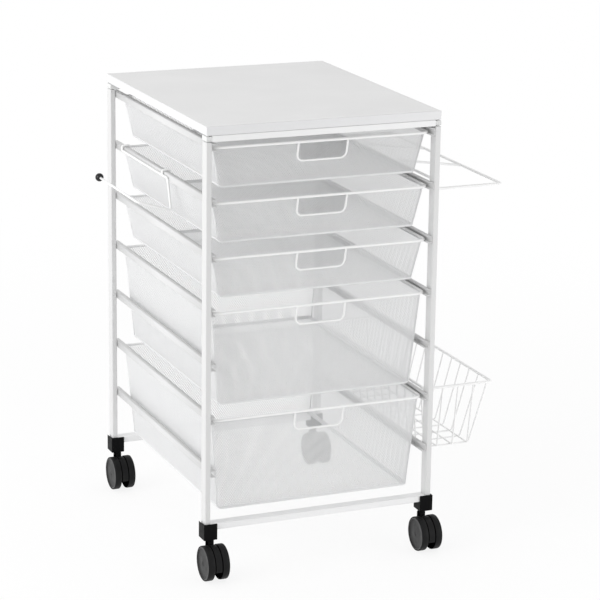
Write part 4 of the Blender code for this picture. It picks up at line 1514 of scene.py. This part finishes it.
@dataclass(frozen=True)
class Lamp:
    """An area light that shines at a point.

    Attributes:
        name: its name.
        at: where it stands.
        size: its side.
        power: its power in watts.
        target: the point that it shines at.
    """

    name: str
    at: tuple[float, float, float]
    size: float
    power: float
    target: tuple[float, float, float] = (0.0, 0.0, 0.42)

    def hang(self) -> None:
        """Add the light to the scene."""
        data = bpy.data.lights.new(self.name, "AREA")
        data.shape = "SQUARE"
        data.size = self.size
        data.energy = self.power
        lamp = bpy.data.objects.new(self.name, data)
        lamp.location = self.at
        lamp.rotation_euler = (Vector(self.target) - Vector(self.at)).to_track_quat("-Z", "Y").to_euler()
        bpy.context.scene.collection.objects.link(lamp)


@dataclass(frozen=True)
class Studio:
    """Camera, lights, white surround and floor.

    Attributes:
        eye: where the camera stands.
        yaw: degrees that it looks to the right of +Y.
        pitch: degrees that it looks down.
        roll: degrees that it leans to the left.
        lens: focal length in millimetres.
        sensor: width of the camera's sensor in millimetres.
        front_light: strength of the light from in front.
        back_light: strength of the light from behind.
        floor_glow: share of light that the floor gives by itself to the cart.
        floor_front: strength of that light in front of the cart.
        floor_back: strength of that light behind the cart.
        floor_reach: distance before and behind the origin over which it changes.
        floor_size: side of the floor.
        floor_drop: how far the floor lies below the wheels.
        floor_grey: level of the floor's paint.
        floor_rough: roughness of that paint.
        floor_shine: level of its mirror-like share.
        near_white: share of plain white in the floor that is seen near the cart; the rest takes the shadow.
        fade_from: distance from the origin where the shadow starts to fade.
        fade_to: distance where it has faded.
        lamps: the area lights.
    """

    eye: tuple[float, float, float] = (-1.7475, -4.168, 1.690)
    yaw: float = 23.00
    pitch: float = 15.53
    roll: float = 0.81
    lens: float = 147.96
    sensor: float = 36.0
    front_light: float = 0.50
    back_light: float = 1.16
    floor_glow: float = 0.6
    floor_front: float = 0.95
    floor_back: float = 1.2
    floor_reach: float = 0.8
    floor_size: float = 60.0
    floor_drop: float = 0.0002
    floor_grey: float = 0.95
    floor_rough: float = 0.9
    floor_shine: float = 0.1
    near_white: float = 0.86
    fade_from: float = 0.5
    fade_to: float = 2.5
    lamps: tuple[Lamp, ...] = (Lamp("key", (-2.9, -0.5, 1.6), 1.8, 35.0),
                               Lamp("fill", (1.1, -1.3, 0.30), 1.0, 6.5))

    def build(self) -> None:
        """Add the camera, the lights, the surround and the floor."""
        self._camera()
        self._surround()
        self._floor()
        for lamp in self.lamps:
            lamp.hang()
        bpy.context.scene.view_settings.view_transform = "Standard"

    def _camera(self) -> None:
        """Add the camera where the photograph was taken from."""
        yaw, pitch, roll = (math.radians(angle) for angle in (self.yaw, self.pitch, self.roll))
        ahead = Vector((math.sin(yaw) * math.cos(pitch), math.cos(yaw) * math.cos(pitch), -math.sin(pitch)))
        right = Vector((math.cos(yaw), -math.sin(yaw), 0.0))
        up = right.cross(ahead)
        across = right * math.cos(roll) + up * math.sin(roll)
        above = up * math.cos(roll) - right * math.sin(roll)
        data = bpy.data.cameras.new("camera")
        data.sensor_width = self.sensor
        data.lens = self.lens
        camera = bpy.data.objects.new("camera", data)
        turn = Matrix((across, above, -ahead)).transposed().to_4x4()
        camera.matrix_world = Matrix.Translation(self.eye) @ turn
        bpy.context.scene.collection.objects.link(camera)
        bpy.context.scene.camera = camera

    @staticmethod
    def _in_view(graph: Graph) -> NodeSocket:
        """Tell the rays that show a surface from those that only light the cart.

        Args:
            graph: the node tree that the nodes go into.

        Returns:
            A socket of value 1 for what the camera sees, also in a mirror or through glass, and 0 for
            other rays.
        """
        path = graph.add("LightPath").outputs
        seen = path["Is Camera Ray"]
        for name in ("Is Glossy Ray", "Is Transmission Ray"):
            seen = graph.add("Math", {0: seen, 1: path[name]}, operation="MAXIMUM").outputs["Value"]
        return seen

    @staticmethod
    def _along_y(graph: Graph, space: str, reach: float, front: float, back: float) -> NodeSocket:
        """Grade a value from the front to the back.

        Args:
            graph: the node tree that the nodes go into.
            space: the coordinates to use.
            reach: distance before and behind the origin over which the value changes.
            front: the value in front.
            back: the value behind.

        Returns:
            The value's socket.
        """
        place = graph.add("TexCoord").outputs[space]
        axes = graph.add("SeparateXYZ", {"Vector": place})
        span = graph.add("MapRange", {"Value": axes.outputs["Y"], "From Min": -reach, "From Max": reach,
                                      "To Min": front, "To Max": back})
        return span.outputs["Result"]

    def _surround(self) -> None:
        """Light the cart from all round, more from behind, and show plain white."""
        world = bpy.data.worlds.new("surround")
        world.use_nodes = True
        graph = Graph(world.node_tree)
        graph.tree.nodes.clear()
        strength = self._along_y(graph, "Generated", 1.0, self.front_light, self.back_light)
        light = graph.add("Background", {"Color": WHITE, "Strength": strength})
        seen = graph.add("Background", {"Color": WHITE, "Strength": 1.0})
        mix = graph.add("MixShader", {"Fac": self._in_view(graph), 1: light.outputs["Background"],
                                      2: seen.outputs["Background"]})
        graph.add("OutputWorld", {"Surface": mix.outputs["Shader"]})
        bpy.context.scene.world = world

    def _floor(self) -> None:
        """Add the pale floor that takes the cart's shadow."""
        bm = bmesh.new()
        bmesh.ops.create_grid(bm, x_segments=1, y_segments=1, size=self.floor_size / 2)
        mesh = bpy.data.meshes.new("floor")
        bm.to_mesh(mesh)
        bm.free()
        mesh.materials.append(self._floor_paint())
        floor = bpy.data.objects.new("floor", mesh)
        floor.location = (0.0, 0.0, -self.floor_drop)
        bpy.context.scene.collection.objects.link(floor)

    def _floor_paint(self) -> Material:
        """Make the floor's paint: near white where it is seen, and a graded glow for the cart.

        Returns:
            The paint.
        """
        paint = bpy.data.materials.new("floor_paint")
        paint.use_nodes = True
        graph = Graph(paint.node_tree)
        shader = graph.tree.nodes["Principled BSDF"]
        level = self.floor_grey
        graph.feed(shader, {"Base Color": (level, level, level, 1.0), "Roughness": self.floor_rough,
                            "Specular IOR Level": self.floor_shine})
        in_view = self._in_view(graph)
        light = self._along_y(graph, "Object", self.floor_reach, self.floor_front, self.floor_back)
        strength = graph.add("Mix", {"Factor": in_view, "A": light, "B": 1.0})
        glow = graph.add("Emission", {"Strength": strength.outputs["Result"]})
        place = graph.add("TexCoord").outputs["Object"]
        away = graph.add("VectorMath", {"Vector": place}, operation="LENGTH")
        fade = graph.add("MapRange", {"Value": away.outputs["Value"], "From Min": self.fade_from,
                                      "From Max": self.fade_to, "To Min": self.near_white, "To Max": 1.0},
                         interpolation_type="SMOOTHSTEP")
        share = graph.add("Mix", {"Factor": in_view, "A": self.floor_glow, "B": fade.outputs["Result"]})
        mix = graph.add("MixShader", {"Fac": share.outputs["Result"], 1: shader.outputs["BSDF"],
                                      2: glow.outputs["Emission"]})
        graph.feed(graph.tree.nodes["Material Output"], {"Surface": mix.outputs["Shader"]})
        return paint


def clear_scene() -> None:
    """Remove what the start-up file holds."""
    for old in list(bpy.data.objects):
        bpy.data.objects.remove(old)


def main() -> None:
    """Build the dressed cart in its studio."""
    logging.basicConfig(level=logging.INFO, format="%(name)s: %(message)s")
    clear_scene()
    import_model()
    parts: list[Assembly] = [Frame(), RollRack(), RibbonHolder()]
    parts += [Drawer(number) for number in range(1, 6)]
    parts += [Caster(end, side) for end in End for side in Side]
    for part in parts:
        part.build()
        LOG.info("built %s", type(part).__name__)
    Studio().build()


if __name__ == "__main__":
    main()
